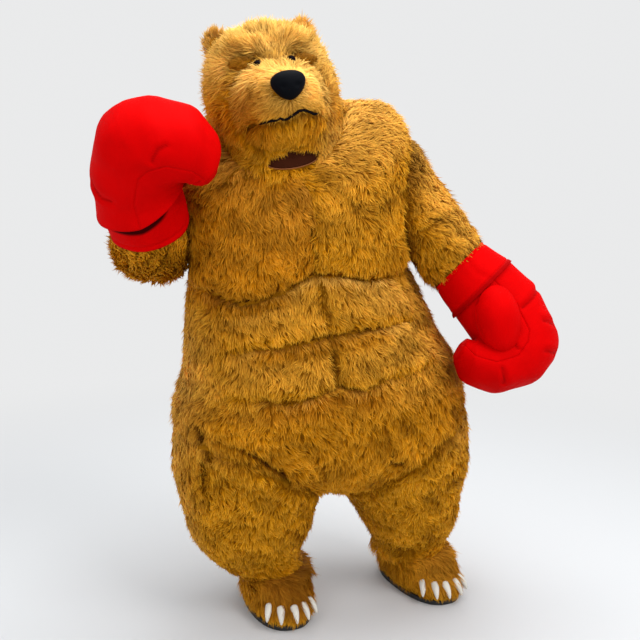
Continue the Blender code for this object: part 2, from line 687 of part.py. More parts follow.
def turned_ring(name, profile, matrix, kind=None, helper=False):
    """A closed profile in X and Z, turned round Z."""
    bm = bmesh.new()
    corners = [bm.verts.new((x, 0, z)) for x, z in profile]
    for a, b in zip(corners, corners[1:] + corners[:1]):
        bm.edges.new((a, b))
    data = bpy.data.meshes.new(name)
    bm.to_mesh(data)
    bm.free()
    obj = new_object(name, data, kind, helper)
    obj.matrix_local = matrix
    screw = obj.modifiers.new("turn", "SCREW")
    screw.steps = screw.render_steps = CUFF_SIDES
    screw.use_merge_vertices = True
    screw.merge_threshold = 0.0001
    screw.use_smooth_shade = True
    return obj


def cuff_profile(side, grown):
    """The cuff's wall from its hem to its top, drawn on the glove's own length axis."""
    top = -CUFF_LENGTH - grown
    hem = CUFF_REACH[side] + grown
    outer_top = CUFF_TOP_RADIUS + grown
    outer_hem = CUFF_HEM_RADIUS[side] + grown
    inner = CUFF_WALL + 2 * grown
    return ((outer_hem, hem), (outer_top, top), (outer_top - inner, top), (outer_hem - inner, hem))


def gloves():
    turn = Matrix.Rotation(math.radians(90), 4, "Y")
    front, back, ring = ring_angles(GLOVE_SIDES)
    for side in ("right", "left"):
        frame = glove_frame(side)

        def point(angle, level, depth, side=side):
            return glove_point(side, angle, level, depth)

        turned_ring(f"glove_cuff_{side}", cuff_profile(side, 0), frame @ turn, RED)
        cuff_room = turned_ring(f"cuff_room_{side}", cuff_profile(side, SEAM), frame @ turn, helper=True)
        for half, angles in (("back", front), ("palm", back)):
            boolean(wall(f"glove_{half}_{side}", RED, angles, GLOVE_LEVELS, point, GLOVE_WALL), cuff_room)
        filled = closed_tube(f"glove_filled_{side}", ring, GLOVE_LEVELS, lambda a, b: point(a, b, -SEAM))
        place = frame @ Matrix.Translation(THUMB_CENTRE[side]) @ Matrix.Rotation(THUMB_TURN, 4, "Z")
        thumb = ellipsoid(f"glove_thumb_{side}", RED, place, THUMB_HALF)
        boolean(thumb, filled)
        boolean(thumb, cuff_room)


def sole(side):
    """A flat rubber sole, a little wider than the foot's fur."""
    bm = bmesh.new()
    bmesh.ops.create_cone(bm, cap_ends=True, segments=SOLE_SIDES, radius1=1, radius2=1, depth=SOLE_THICK)
    edge = row_at(FOOT_RINGS, FOOT_COLUMNS, 0)
    frame = foot_frame(side)
    for v in bm.verts:
        angle = math.degrees(math.atan2(v.co.x, -v.co.y))
        place = foot_outline(angle, edge, -SOLE_WELT)
        place.z = v.co.z + SOLE_THICK / 2
        v.co = frame @ place
    return finish_bmesh(bm, f"sole_{side}", RUBBER)


def claw(side, number, angle, foot_filled):
    """A curved claw: round rings that shrink along an arc, out from the toe and down."""
    frame = foot_frame(side)
    root = foot_outline(angle, row_at(FOOT_RINGS, FOOT_COLUMNS, CLAW_ROOT_LEVEL), CLAW_ROOT)
    fan = math.radians(angle * CLAW_FAN)
    heading = Vector((math.sin(fan), -math.cos(fan), 0))
    beside = Vector((math.cos(fan), math.sin(fan), 0))
    upright = Vector((0, 0, 1))
    arc_radius = CLAW_LENGTH / CLAW_BEND

    def point(around_ring, t, *_):
        a = math.radians(around_ring)
        turned = CLAW_START + t * CLAW_BEND
        along = heading * (math.sin(turned) - math.sin(CLAW_START))
        down = upright * (math.cos(turned) - math.cos(CLAW_START))
        outward = heading * math.sin(turned) + upright * math.cos(turned)
        across = beside * math.cos(a) + outward * math.sin(a)
        radius = CLAW_RADIUS * (1 - t) ** 0.6 + CLAW_TIP
        return frame @ (root + (along + down) * arc_radius + across * radius)

    ring = [360 * k / CLAW_SIDES for k in range(CLAW_SIDES)]
    rows = [k / CLAW_STEPS for k in range(CLAW_STEPS + 1)]
    made = closed_tube(f"claw_{side}_{number}", ring, rows, point, IVORY, helper=False)
    boolean(made, foot_filled)


def feet():
    front, back, ring = ring_angles(LEG_SIDES)
    for side in ("right", "left"):

        def point(angle, level, depth, side=side):
            return foot_point(side, angle, level, depth)

        wall(f"foot_vamp_{side}", FUR, front, FOOT_LEVELS, point, FUR_WALL)
        wall(f"foot_heel_{side}", FUR, back, FOOT_LEVELS, point, FUR_WALL)
        filled = closed_tube(f"foot_filled_{side}", ring, FOOT_LEVELS, lambda a, b: point(a, b, -SEAM))
        sole(side)
        for number, angle in enumerate(CLAW_ANGLES, 1):
            claw(side, number, angle if side == "left" else -angle, filled)


def slot_cutter(name, grown):
    """An upright elliptic prism through the neck front, on the head's tilt."""
    bm = bmesh.new()
    place = HEAD_FRAME @ Matrix.Translation(SLOT_CENTRE) @ Matrix.Rotation(math.radians(90), 4, "X")
    size = Matrix.Diagonal((SLOT_HALF_WIDTH + grown, SLOT_HALF_HEIGHT + grown, 1, 1))
    bmesh.ops.create_cone(bm, cap_ends=True, segments=32, radius1=1, radius2=1, depth=SLOT_DEPTH,
                          matrix=place @ size)
    return finish_bmesh(bm, name, helper=True)


def head_pieces():
    face = around(FACE_ANGLES)
    neck = wall("neck_front", FUR, face, NECK_LEVELS, head_point, FACE_WALL)
    boolean(neck, slot_cutter("slot_hole", SEAM))
    panel = wall("vision_panel", SLOT_MESH, face, NECK_LEVELS,
                 lambda a, b, depth: head_point(a, b, depth + SLOT_PANEL_DEPTH), SLOT_PANEL_WALL)
    boolean(panel, slot_cutter("slot_shape", 0), "INTERSECT")
    wall("face", FUR, face, HEAD_LEVELS, head_point, FACE_WALL)
    rows = NECK_LEVELS + HEAD_LEVELS[1:]
    for side, name in ((1, "left"), (-1, "right")):
        wall(f"head_{name}", FUR, [a * side for a in HEAD_SIDE_ANGLES], rows, head_point, FACE_WALL)


def muzzle_block(name, grown, kind=None, helper=True):
    """The muzzle and jaw as one filled lump: upright rings along the head's -Y, sheared back to the chin."""

    def point(angle, level, *_):
        row = row_at(MUZZLE_RINGS, MUZZLE_COLUMNS, level)
        a = math.radians(angle)
        x = (row["half_width"] + grown) * rounded(math.cos(a), 0.8)
        up = (row["half_height"] + grown) * rounded(math.sin(a), 0.8)
        y = row["y"] - up * MUZZLE_SHEAR - grown * (level / (len(MUZZLE_RINGS) - 1))
        return HEAD_FRAME @ Vector((x, y, row["cz"] + up))

    ring = [360 * k / MUZZLE_SIDES for k in range(MUZZLE_SIDES)]
    return closed_tube(name, ring, MUZZLE_LEVELS, point, kind, helper)


def mouth_height(x):
    along = x / MOUTH_HALF_WIDTH
    return MOUTH_Z + MOUTH_WAVE * math.sin(math.pi * along) - MOUTH_CORNER * abs(along) ** 3


def mouth_slab(name, low, high, y_far, helper=True, kind=None):
    """A slab that follows the mouth's line across the head, from low to high about it."""
    bm = bmesh.new()
    bmesh.ops.create_grid(bm, x_segments=12, y_segments=1, size=1)
    bmesh.ops.solidify(bm, geom=list(bm.faces), thickness=1)
    levels = sorted({round(v.co.z, 3) for v in bm.verts})
    for v in bm.verts:
        x = v.co.x * MOUTH_CUT_WIDTH
        y = AHEAD_OF_MOUTH if v.co.y < 0 else y_far
        z = mouth_height(x) + (low if round(v.co.z, 3) == levels[0] else high)
        v.co = HEAD_FRAME @ Vector((x, y, z))
    return finish_bmesh(bm, name, kind, helper)


def muzzle_pieces(head):
    half = MOUTH_GAP / 2
    for name, low, high in (("muzzle", half, MOUTH_CUT_WIDTH), ("jaw", -MOUTH_CUT_WIDTH, -half)):
        made = muzzle_block(name, 0, FUR, helper=False)
        keep = mouth_slab(f"{name}_side", low, high, BEHIND_MOUTH)
        boolean(made, keep, "INTERSECT")
        boolean(made, head)
    mouth = mouth_slab("mouth", -half + SEAM, half - SEAM, -MOUTH_BACK, helper=False, kind=BLACK_CLOTH)
    boolean(mouth, muzzle_block("mouth_limit", MOUTH_SET), "INTERSECT")
    boolean(mouth, head)


def nose(muzzle_room):
    """A padded rounded triangle, wider above, on the tip of the muzzle."""
    place = HEAD_FRAME @ Matrix.Translation(NOSE_CENTRE)
    made = ellipsoid("nose", BLACK, Matrix(), (1, 1, 1), 16, 8)
    for v in made.data.vertices:
        x, y, z = v.co
        taper = 1 + NOSE_TAPER * z
        wide = NOSE_HALF[0] * rounded(x, 0.85) * taper
        v.co = place @ Vector((wide, NOSE_HALF[1] * y, NOSE_HALF[2] * rounded(z, 0.9)))
    boolean(made, muzzle_room)


def eye_pieces(head):
    for side, name in ((1, "left"), (-1, "right")):
        tilt = Matrix.Rotation(side * -PATCH_TILT, 4, "Y")
        patch = ellipsoid(f"eye_patch_{name}", SHORT_FUR,
                          HEAD_FRAME @ Matrix.Translation((side * PATCH_X, PATCH_Y, PATCH_Z)) @ tilt,
                          PATCH_HALF, 14, 8)
        boolean(patch, head)
        eye_place = HEAD_FRAME @ Matrix.Translation((side * EYE_X, EYE_Y, EYE_Z))
        room = ellipsoid(f"eye_room_{name}", None, eye_place, [EYE_RADIUS + SEAM] * 3, 12, 8, helper=True)
        boolean(patch, room)
        eye = ellipsoid(f"eye_{name}", BLACK, eye_place, [EYE_RADIUS] * 3, 12, 8)
        boolean(eye, head)


def ears(head):
    for side, name in ((1, "left"), (-1, "right")):
        lean = Matrix.Rotation(side * EAR_LEAN, 4, "Y")
        place = HEAD_FRAME @ Matrix.Translation((side * EAR_X, EAR_Y, EAR_Z)) @ lean
        ear = ellipsoid(f"ear_{name}", FUR, place, EAR_HALF, 14, 8)
        hollow = ellipsoid(f"ear_hollow_{name}", None, place @ Matrix.Translation((0, -EAR_DISH, 0)),
                           [h * EAR_HOLLOW for h in EAR_HALF], 12, 8, helper=True)
        boolean(ear, hollow)
        boolean(ear, head)


ALL_LEVELS = LOW_LEVELS + AB_LOW_LEVELS[1:] + AB_HIGH_LEVELS[1:] + CHEST_LEVELS[1:]
COLLECTIONS = {}


def main():
    clear_scene()
    for name in ("bear_mascot_costume", "cutters"):
        COLLECTIONS[name] = bpy.data.collections.new(name)
        bpy.context.scene.collection.children.link(COLLECTIONS[name])
    root = bpy.data.objects.new("costume_root", None)
    COLLECTIONS["bear_mascot_costume"].objects.link(root)
    root.location = -SHOULDER_POINT
    COLLECTIONS["root"] = root
    torso_pieces()
    body = body_filled()
    legs(body)
    sleeves(body)
    gloves()
    feet()
    head_pieces()
    head = head_filled()
    muzzle_pieces(head)
    nose(muzzle_block("muzzle_room", SEAM))
    eye_pieces(head)
    ears(head)


main()
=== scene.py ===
"""Dresses the bear costume: combed fur on its own skins, padded red gloves, and finer claws, nose and eyes.

Everything is in metres in the frame's axes: the suit faces -Y and the origin is its shoulder yoke. The
surfaces repeat the sizes of the solids, so that each piece lies on the form that it stands for.
"""

import math

import bpy
import numpy as np
from mathutils import Matrix, Vector
from mathutils.bvhtree import BVHTree


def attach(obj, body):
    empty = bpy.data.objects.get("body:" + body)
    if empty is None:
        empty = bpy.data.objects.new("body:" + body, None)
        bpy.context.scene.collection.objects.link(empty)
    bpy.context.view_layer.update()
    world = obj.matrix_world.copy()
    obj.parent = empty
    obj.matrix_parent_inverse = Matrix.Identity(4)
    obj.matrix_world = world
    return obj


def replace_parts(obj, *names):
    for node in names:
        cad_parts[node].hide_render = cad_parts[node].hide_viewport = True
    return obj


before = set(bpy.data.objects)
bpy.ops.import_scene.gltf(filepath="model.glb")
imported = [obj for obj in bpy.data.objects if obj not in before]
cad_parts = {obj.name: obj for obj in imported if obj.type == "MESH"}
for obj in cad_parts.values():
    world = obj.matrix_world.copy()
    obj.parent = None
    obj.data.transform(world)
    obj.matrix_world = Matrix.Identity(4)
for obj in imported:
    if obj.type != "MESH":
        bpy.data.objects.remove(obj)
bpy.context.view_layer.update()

# ---------------------------------------------------------------- sizes, as the solids have them

YOKE = np.array((-0.10, 0.02, 1.50))

# z cx cy half_width front back side_slope front_drop back_rise
TORSO = np.array((
    (0.455, 0.055, 0.020, 0.004, 0.004, 0.004, 0.00, 0.00, 0.00),
    (0.475, 0.050, 0.020, 0.110, 0.130, 0.130, 0.00, 0.00, 0.00),
    (0.530, 0.030, 0.010, 0.240, 0.240, 0.250, 0.00, 0.00, 0.00),
    (0.610, 0.020, 0.000, 0.380, 0.315, 0.335, 0.00, 0.00, 0.00),
    (0.700, 0.013, 0.000, 0.475, 0.360, 0.370, 0.03, 0.00, 0.00),
    (0.800, 0.000, 0.000, 0.515, 0.378, 0.360, 0.08, 0.00, 0.00),
    (0.905, -0.016, 0.000, 0.496, 0.370, 0.310, 0.12, 0.00, 0.00),
    (0.990, -0.033, 0.000, 0.460, 0.350, 0.270, 0.12, 0.00, 0.00),
    (1.080, -0.050, 0.000, 0.435, 0.335, 0.250, 0.12, 0.00, 0.00),
    (1.180, -0.068, 0.000, 0.412, 0.318, 0.250, 0.12, 0.00, 0.00),
    (1.270, -0.080, 0.000, 0.390, 0.308, 0.262, 0.12, 0.00, 0.00),
    (1.360, -0.088, 0.000, 0.380, 0.308, 0.275, 0.12, 0.00, 0.00),
    (1.460, -0.090, 0.000, 0.385, 0.305, 0.285, 0.12, 0.03, 0.00),
    (1.570, -0.095, 0.000, 0.392, 0.300, 0.285, 0.14, 0.09, 0.01),
    (1.685, -0.100, -0.005, 0.388, 0.290, 0.270, 0.16, 0.16, 0.05),
    (1.764, -0.123, -0.015, 0.336, 0.276, 0.235, 0.17, 0.21, 0.08),
    (1.790, -0.162, -0.040, 0.228, 0.250, 0.185, 0.16, 0.21, 0.10),
))
AB_BOTTOM, AB_MIDDLE, PEC, NECK = 6.0, 8.0, 10.0, 16.0
PEC_SAG, AB_SAG, AB_EDGE = 0.055, 0.022, 48.0
PLACKET_EDGE, PLACKET_LEVEL = 177.6, 4.8

HEAD_CENTRE = np.array((-0.200, -0.130, 1.870))
HEAD_ROLL = math.radians(10)
# z cy half_width front back front_drop back_rise
HEAD = np.array((
    (-0.055, -0.01, 0.204, 0.160, 0.222, 0.145, 0.105),
    (-0.010, 0.00, 0.204, 0.168, 0.220, 0.090, 0.080),
    (0.032, 0.00, 0.198, 0.165, 0.213, 0.045, 0.050),
    (0.075, 0.00, 0.187, 0.160, 0.200, 0.012, 0.020),
    (0.118, 0.00, 0.165, 0.145, 0.178, 0.000, 0.005),
    (0.156, 0.00, 0.128, 0.115, 0.138, 0.000, 0.000),
    (0.181, 0.00, 0.080, 0.072, 0.085, 0.000, 0.000),
    (0.192, 0.00, 0.003, 0.003, 0.003, 0.000, 0.000),
))
FACE_EDGE = 70.0

# z cx cy half_width half_depth
LEGS = {
    "right": np.array((
        (0.840, -0.250, 0.010, 0.175, 0.160),
        (0.775, -0.252, 0.010, 0.246, 0.235),
        (0.690, -0.260, 0.010, 0.270, 0.280),
        (0.590, -0.268, 0.015, 0.270, 0.290),
        (0.500, -0.262, 0.020, 0.262, 0.280),
        (0.414, -0.257, 0.028, 0.248, 0.258),
        (0.330, -0.257, 0.032, 0.230, 0.232),
        (0.255, -0.256, 0.045, 0.202, 0.198),
        (0.195, -0.240, 0.065, 0.175, 0.172),
        (0.150, -0.205, 0.080, 0.160, 0.158),
    )),
    "left": np.array((
        (0.840, 0.250, 0.010, 0.175, 0.160),
        (0.775, 0.266, 0.012, 0.248, 0.235),
        (0.690, 0.284, 0.015, 0.270, 0.280),
        (0.590, 0.298, 0.020, 0.272, 0.288),
        (0.500, 0.314, 0.028, 0.254, 0.272),
        (0.414, 0.328, 0.038, 0.226, 0.246),
        (0.330, 0.352, 0.048, 0.200, 0.216),
        (0.255, 0.370, 0.065, 0.172, 0.184),
        (0.195, 0.380, 0.095, 0.150, 0.160),
        (0.150, 0.385, 0.118, 0.146, 0.154),
    )),
}
# shoulder, the upper arm's control point, the forearm's straight run behind the wrist, the wrist
ARMS = {
    "right": (np.array((-0.34, 0.10, 1.610)), np.array((-0.655, 0.100, 1.375)), 0.16,
              np.array((-0.585, -0.124, 1.412))),
    "left": (np.array((0.155, 0.000, 1.675)), np.array((0.297, -0.067, 1.518)), 0.12,
             np.array((0.452, -0.176, 1.279))),
}
ARM_RADII = np.array(((0.00, 0.090), (0.10, 0.130), (0.25, 0.138), (0.45, 0.132), (0.70, 0.128), (1.00, 0.116)))
ELBOW, BEND_SHARE, BEND_SAMPLES = 0.6, 0.85, 48

CUFF_LENGTH, CUFF_WALL, CUFF_TOP = 0.118, 0.006, 0.111
CUFF_HEM = {"left": 0.133, "right": 0.124}
CUFF_REACH = {"left": 0.0, "right": 0.016}
# inner_d inner_n outer_d outer_n across
GLOVE = np.array((
    (-0.010, 0.124, -0.010, -0.124, 0.124),
    (0.045, 0.136, 0.080, -0.128, 0.126),
    (0.085, 0.140, 0.172, -0.116, 0.129),
    (0.099, 0.141, 0.275, -0.070, 0.130),
    (0.106, 0.149, 0.336, 0.012, 0.129),
    (0.106, 0.155, 0.346, 0.105, 0.126),
    (0.104, 0.160, 0.308, 0.196, 0.122),
    (0.099, 0.166, 0.235, 0.262, 0.112),
    (0.090, 0.171, 0.150, 0.278, 0.094),
    (0.078, 0.176, 0.100, 0.250, 0.066),
    (0.074, 0.192, 0.080, 0.218, 0.026),
    (0.076, 0.204, 0.077, 0.208, 0.004),
))
GLOVE_SWELL = {"left": 1.0, "right": 1.08}
GLOVE_ALONG = {"left": np.array((0.66, -0.33, -0.70)), "right": np.array((-0.240, -0.630, 0.740))}
GLOVE_PALM = {"left": np.array((-0.70, -0.16, -0.66)), "right": np.array((0.938, -0.250, 0.186))}
GLOVE_CORNERS = np.array((0.0, 1.6, 3.25, 3.9, 5.0, 6.4, 7.7, 9.0, 10.2, 11.0))
GLOVE_FLAT = 0.90
THUMB_CENTRE = {"left": (0.098, 0.080, 0.108), "right": (0.092, 0.018, 0.108)}
THUMB_HALF, THUMB_TURN = (0.112, 0.070, 0.078), math.radians(38)
# how far up the hand's hem starts over the cuff, in levels, at these angles from the back of the hand
HEM_ANGLES = (0, 30, 60, 90, 120, 150, 180)
HEM_RISE = {"right": (0.0, 0.08, 0.22, 0.32, 0.85, 1.45, 1.7), "left": (0.0, 0.0, 0.0, 0.0, 0.0, 0.0, 0.0)}
HEM_LIFT = {"right": 0.008, "left": 0.0}
CUFF_UNDER = {"right": 0.070, "left": 0.0}
CUFF_SHORT, CUFF_LOOSE = {"right": 0.024, "left": 0.0}, {"right": 0.018, "left": 0.0}
CUFF_TUCK = 0.022

# z front back half_width
FOOT = np.array((
    (0.0165, 0.255, 0.160, 0.114),
    (0.045, 0.272, 0.172, 0.126),
    (0.080, 0.262, 0.174, 0.127),
    (0.112, 0.222, 0.168, 0.126),
    (0.136, 0.178, 0.160, 0.134),
    (0.1497, 0.150, 0.150, 0.146),
))
ANKLES = {"right": np.array((-0.160, 0.080, 0.0)), "left": np.array((0.418, 0.130, 0.0))}
FOOT_TURNS = {"right": math.radians(4), "left": math.radians(10)}
CLAW_ANGLES = (-38.0, -20.0, -3.0, 15.0, 34.0)
CLAW_LENGTH, CLAW_RADIUS, CLAW_ROOT, CLAW_LEVEL, CLAW_START, CLAW_BEND = 0.060, 0.0155, 0.014, 1.9, 0.15, 1.15

# y cz half_width half_height
MUZZLE = np.array((
    (-0.095, -0.080, 0.134, 0.112),
    (-0.150, -0.083, 0.128, 0.116),
    (-0.215, -0.086, 0.112, 0.102),
    (-0.262, -0.082, 0.090, 0.084),
    (-0.292, -0.074, 0.060, 0.056),
    (-0.304, -0.068, 0.002, 0.002),
))
MUZZLE_SHEAR = 0.28
MOUTH_HALF, MOUTH_GAP = 0.095, 0.007
MOUTH_RUN = ((-0.095, -0.065, -0.047, -0.035, -0.026, -0.013, 0.008, 0.024, 0.039, 0.057, 0.072, 0.085, 0.095),
             (-0.132, -0.129, -0.130, -0.126, -0.132, -0.131, -0.122, -0.114, -0.115, -0.122, -0.129, -0.128,
              -0.125))
NOSE_CENTRE, NOSE_HALF, NOSE_TAPER = (0.0, -0.305, -0.040), (0.050, 0.034, 0.042), 0.30
PATCH_HALF = (0.055, 0.021, 0.027)
PATCH_CENTRE = {"right": (0.082, -0.138, 0.052), "left": (0.080, -0.138, 0.042)}
PATCH_TILT = {"right": math.radians(10), "left": math.radians(-2)}
EYE_CENTRE, EYE_RADIUS = (0.052, -0.158, 0.047), 0.0145
EAR_CENTRE, EAR_HALF, EAR_LEAN = (0.126, 0.035, 0.131), (0.052, 0.026, 0.066), math.radians(30)
SLOT_CENTRE, SLOT_HALF = (0.008, -0.17, -0.243), (0.088, 0.031)
SIGN = {"left": 1, "right": -1}
GLOVE_REACH = {"left": 1.0, "right": 0.97}
CUFF_WAVES, EAR_DISH = 0.0018, 0.030

# ---------------------------------------------------------------- looks: spans, swells, pile and folds

# angles from the front and levels that the surfaces are drawn over
ROUND, FRONT, BACK = (-180, 180), (-90, 90), (90, 270)
FACE = (-FACE_EDGE, FACE_EDGE)
HEAD_LEVELS, LEG_LEVELS = (-1, 7), (0, 9)
MUZZLE_SPAN, GLOBE = ((0, 360), (0, 5)), ((0, 360), (-89, 89))

# how many levels each line between the pads lies above its own level, at these angles
PEC_RUN = ((-62, -52, -44, -36, -16, -8, 0, 13, 25, 39),
           (0.40, 0.23, 0.11, -0.10, -0.16, -0.04, 0.0, 0.08, 0.0, 0.12))
MIDDLE_RUN = ((-32, -16, -4, 20), (-0.09, -0.15, -0.05, 0.0))
BOTTOM_RUN = ((-29, -25, -18, -8, -3, 0, 3, 6, 10, 14, 18),
              (0.36, 0.27, 0.08, 0.04, 0.18, 0.25, 0.07, 0.0, 0.07, 0.22, 0.39))
RUN_WIDTH, OVERHANG, RUN_FADE = 0.75, 0.24, 9
CHEST_SWELL, AB_SWELL, VALLEY = 0.034, 0.022, 0.013

# how deep the pile is, and the grid's steps in degrees and levels
BODY_PILE, FOOT_PILE, HEAD_PILE, MUZZLE_PILE, EAR_PILE, PATCH_PILE = 0.017, 0.016, 0.014, 0.010, 0.009, 0.005
TORSO_STEPS, LEG_STEPS, ARM_STEPS, FOOT_STEPS = (2.4, 0.08), (4.0, 0.12), (5.0, 0.025), (5.0, 0.2)
# the valley where two forms meet: how far it reaches and how high it is rounded
HIP_VALLEY, ARM_VALLEY, MUZZLE_VALLEY = (0.12, 0.038), (0.05, 0.010), (0.06, 0.024)
EASE_SIDES, EASE_DIVE = 0.35, 0.010
SKIN_THICK, SKIN_UNDER = 0.003, 0.004
SHOULDER_PUFF, CAP_PUFF, ELBOW_PUFF = 0.020, 0.020, 0.018
SHIN_HEIGHT, SHIN_TAPER = -1.30, 0.013
# painted light: the first is how much paler fur that faces upwards is, as if lit from above; then the most
# paleness, and the paler side edge's
PAINTED_TOP_LIGHT, MOST_PALE, EDGE_PALE = 0.55, 0.8, 0.30
WARM_PIECES = {"chest_right": 0.34, "chest_left": 0.05, "belly": 0.18}
FOOT_BROWN = {"right": 1.0, "left": 0.35}
BROW_SHADOW = ((0.030, 0.064), (0.060, 0.083), (0.105, 0.092), (0.140, 0.088))
# under each line between the pads the fur gets painted shade, darker and browner: the line, its two end angles
# and how much
UNDER_LINES = ((PEC, -66, -8, 1.0), (AB_MIDDLE, -36, 28, 1.0), (AB_BOTTOM, -33, 20, 1.0))
# each fold or seam on the front: its (x, z) points, its width and how dark its painted shade is
FRONT_LINES = (
    (((-0.325, -0.255), (-0.287, -0.295), (-0.256, -0.305), (-0.215, -0.318), (-0.186, -0.311), (-0.142, -0.301),
      (-0.100, -0.287), (-0.068, -0.272), (-0.046, -0.257), (-0.014, -0.239), (0.019, -0.229), (0.051, -0.227),
      (0.089, -0.230), (0.135, -0.238), (0.183, -0.249), (0.221, -0.250), (0.275, -0.235)), 0.0055, 0.85),
    (((-0.217, -0.322), (-0.152, -0.314)), 0.004, 0.40),
    (((-0.200, -0.458), (-0.147, -0.460), (-0.095, -0.453), (-0.021, -0.439), (0.046, -0.424), (0.127, -0.418),
      (0.210, -0.407), (0.258, -0.406)), 0.0055, 0.80),
    (((-0.188, -0.598), (-0.143, -0.615), (-0.092, -0.625), (-0.038, -0.622), (0.005, -0.614), (0.029, -0.594),
      (0.068, -0.582)), 0.005, 0.75),
    (((0.075, -0.562), (0.100, -0.582), (0.147, -0.598), (0.184, -0.590), (0.216, -0.574),
      (0.258, -0.550)), 0.005, 0.70),
    (((-0.093, -0.588), (-0.051, -0.587)), 0.004, 0.35),
    (((-0.013, -0.002), (0.007, -0.090), (0.028, -0.205)), 0.004, 0.28),
    (((0.035, -0.237), (0.046, -0.304), (0.052, -0.373), (0.056, -0.415)), 0.005, 0.42),
    (((0.058, -0.437), (0.064, -0.479), (0.065, -0.520), (0.077, -0.557)), 0.005, 0.72),
    (((-0.275, -0.755), (-0.206, -0.791), (-0.128, -0.846), (-0.085, -0.891), (-0.045, -0.921)), 0.007, 0.90),
    (((-0.081, -0.880), (-0.038, -0.851)), 0.006, 0.60),
    (((-0.353, -0.706), (-0.335, -0.775), (-0.318, -0.848)), 0.007, 0.85),
    (((-0.342, -0.817), (-0.338, -0.886), (-0.332, -0.964)), 0.007, 0.85),
    (((0.274, -0.788), (0.277, -0.856), (0.339, -0.875)), 0.006, 0.80),
    (((-0.190, 0.185), (-0.188, 0.131), (-0.192, 0.076)), 0.004, 0.60),
    (((-0.205, 0.080), (-0.145, 0.082)), 0.004, 0.55),
    (((-0.275, 0.043), (-0.215, 0.076)), 0.005, 0.55),
    (((0.395, -0.098), (0.427, -0.076), (0.460, -0.055)), 0.006, 0.65),
)
LINE_TAPER, LINE_ROOM, LINE_SHORT, LINE_SINK = 0.16, 0.006, 0.55, 0.005
PARTING, PARTING_REACH = 0.7, 0.018

# the strands: how many, how they turn in swirls and tufts, and how they lie
DETAIL, FIRST_SEED = 1.35, 100
SWIRL_SCALE, SWIRL_TURN = 38.0, 0.55
TUFT_SIZE, TUFT_TURN, TUFT_PULL = 0.020, 0.40, 0.62
BLADE_TURN, BLADE_TWIST, TIP_LIFT = 0.22, 0.75, (0.70, 1.0)
SURFACE_SHARE, ROUNDING = 0.66, 0.35
REACH_SPREAD, HIGH_SPREAD, WIDTH_SPREAD = (0.7, 1.15), (0.35, 1.0), (0.7, 1.2)
MIDDLE_HIGH, MIDDLE_ALONG = 0.85, 0.42
SHADE_WAVES, SHADE_TUFTS, SHADE_STRANDS = 0.22, 0.30, 0.13

# the gloves' folds, (angle, level) points, and their seams
GLOVE_CREASES = {
    "right": (((-56, 5.4), (-66, 5.0), (-80, 4.5)), ((-18, 1.75), (-45, 1.45), (-62, 1.5)),
              ((-100, 7.4), (-130, 7.0))),
    "left": (((20, 1.5), (58, 1.75), (84, 1.95)), ((25, 3.9), (60, 4.05)), ((40, 6.4), (78, 6.3)),
             ((96, 4.6), (120, 3.6)), ((30, 2.9), (62, 2.75))),
}
CREASE_DEPTH, CREASE_WIDTH, DEGREES_A_LEVEL = 0.0060, 0.13, 32.0
FOLD_DARK, FOLD_WIDTH, INNER_DARK = 0.38, 0.05, 0.8
SIDE_SEAM = {"left": 0.0010, "right": 0.0006}
PANEL_DEPTH, PANEL_WIDTH = 0.0028, 0.10
CUFF_FOLD, CUFF_SEAM = ((0.95, 0.0), (0.88, 0.5), (0.98, 1.0)), 0.003
CUFF_FLARE = {"left": 0.010, "right": 0.0}
HEM_SHADE, HEM_BAND = {"left": 0.45, "right": 0.93}, {"left": 0.002, "right": 0.028}
CLAW_TIP, TUBE_SIDES, MOUTH_LINE = 0.0008, 10, 0.0042

FLOOR_Z, FLOOR_REACH, FLOOR_FADE = -1.5, 80, (1.7, 4.5)
ROOM_COLOUR, ROOM_LIGHT = (0.955, 0.960, 0.965), 0.86
# name, place, size and power
LIGHTS = (("key", (2.4, -3.7, 3.3), 2.6, 150), ("fill", (-2.8, -2.8, 0.7), 3.0, 24),
          ("top", (0.2, -0.2, 3.2), 2.6, 100), ("back", (1.4, 3.4, 1.8), 2.5, 30))
LIT_PLACE = (-0.05, -0.05, -0.4)
CAMERA_PLACE, CAMERA_WAY = (-0.552, -2.846, 0.0), (0.2226, 0.9642, -0.1444)
CAMERA_LENS, CAMERA_SENSOR = 45.96, 36

# ---------------------------------------------------------------- surfaces


def row_at(rings, level):
    """The ring's values at fractional levels, each a Catmull-Rom curve through the table."""
    last = len(rings) - 1
    i = np.clip(np.floor(level).astype(int), 0, last - 1)
    t = (level - i)[..., None]
    a, b, c, d = (rings[np.clip(i + k, 0, last)] for k in (-1, 0, 1, 2))
    values = 0.5 * (2 * b + (c - a) * t + (2 * a - 5 * b + 4 * c - d) * t ** 2
                    + (3 * b - a - 3 * c + d) * t ** 3)
    return np.moveaxis(values, -1, 0)


def rounded(value, power):
    return np.sign(value) * np.abs(value) ** power


def bump(x, centre, width):
    return np.exp(-(((x - centre) / width) ** 2))


def rising(x, start, reach):
    """0 up to start, 1 from start + reach on, and straight between them."""
    return np.clip((x - start) / reach, 0, 1)


def falling(x, end, reach):
    """1 up to end - reach, 0 from end on, and straight between them."""
    return np.clip((end - x) / reach, 0, 1)


def unit(v):
    return v / np.maximum(np.linalg.norm(v, axis=-1, keepdims=True), 1e-12)


def stack(x, y, z):
    return np.stack(np.broadcast_arrays(x, y, z), axis=-1)


def turned(angle):
    return np.where(angle > 180, angle - 360, angle)


def direction(lon, lat):
    """The unit direction of a longitude and latitude in degrees; the front is 0, 0."""
    a, b = np.radians(lon), np.radians(lat)
    return stack(np.cos(b) * np.sin(a), -np.cos(b) * np.cos(a), np.sin(b))


def numeric_normal(surface, a, b, step_a=1.0, step_b=0.05):
    along_a = surface(a + step_a, b) - surface(a - step_a, b)
    along_b = surface(a, b + step_b) - surface(a, b - step_b)
    return unit(np.cross(along_a, along_b))


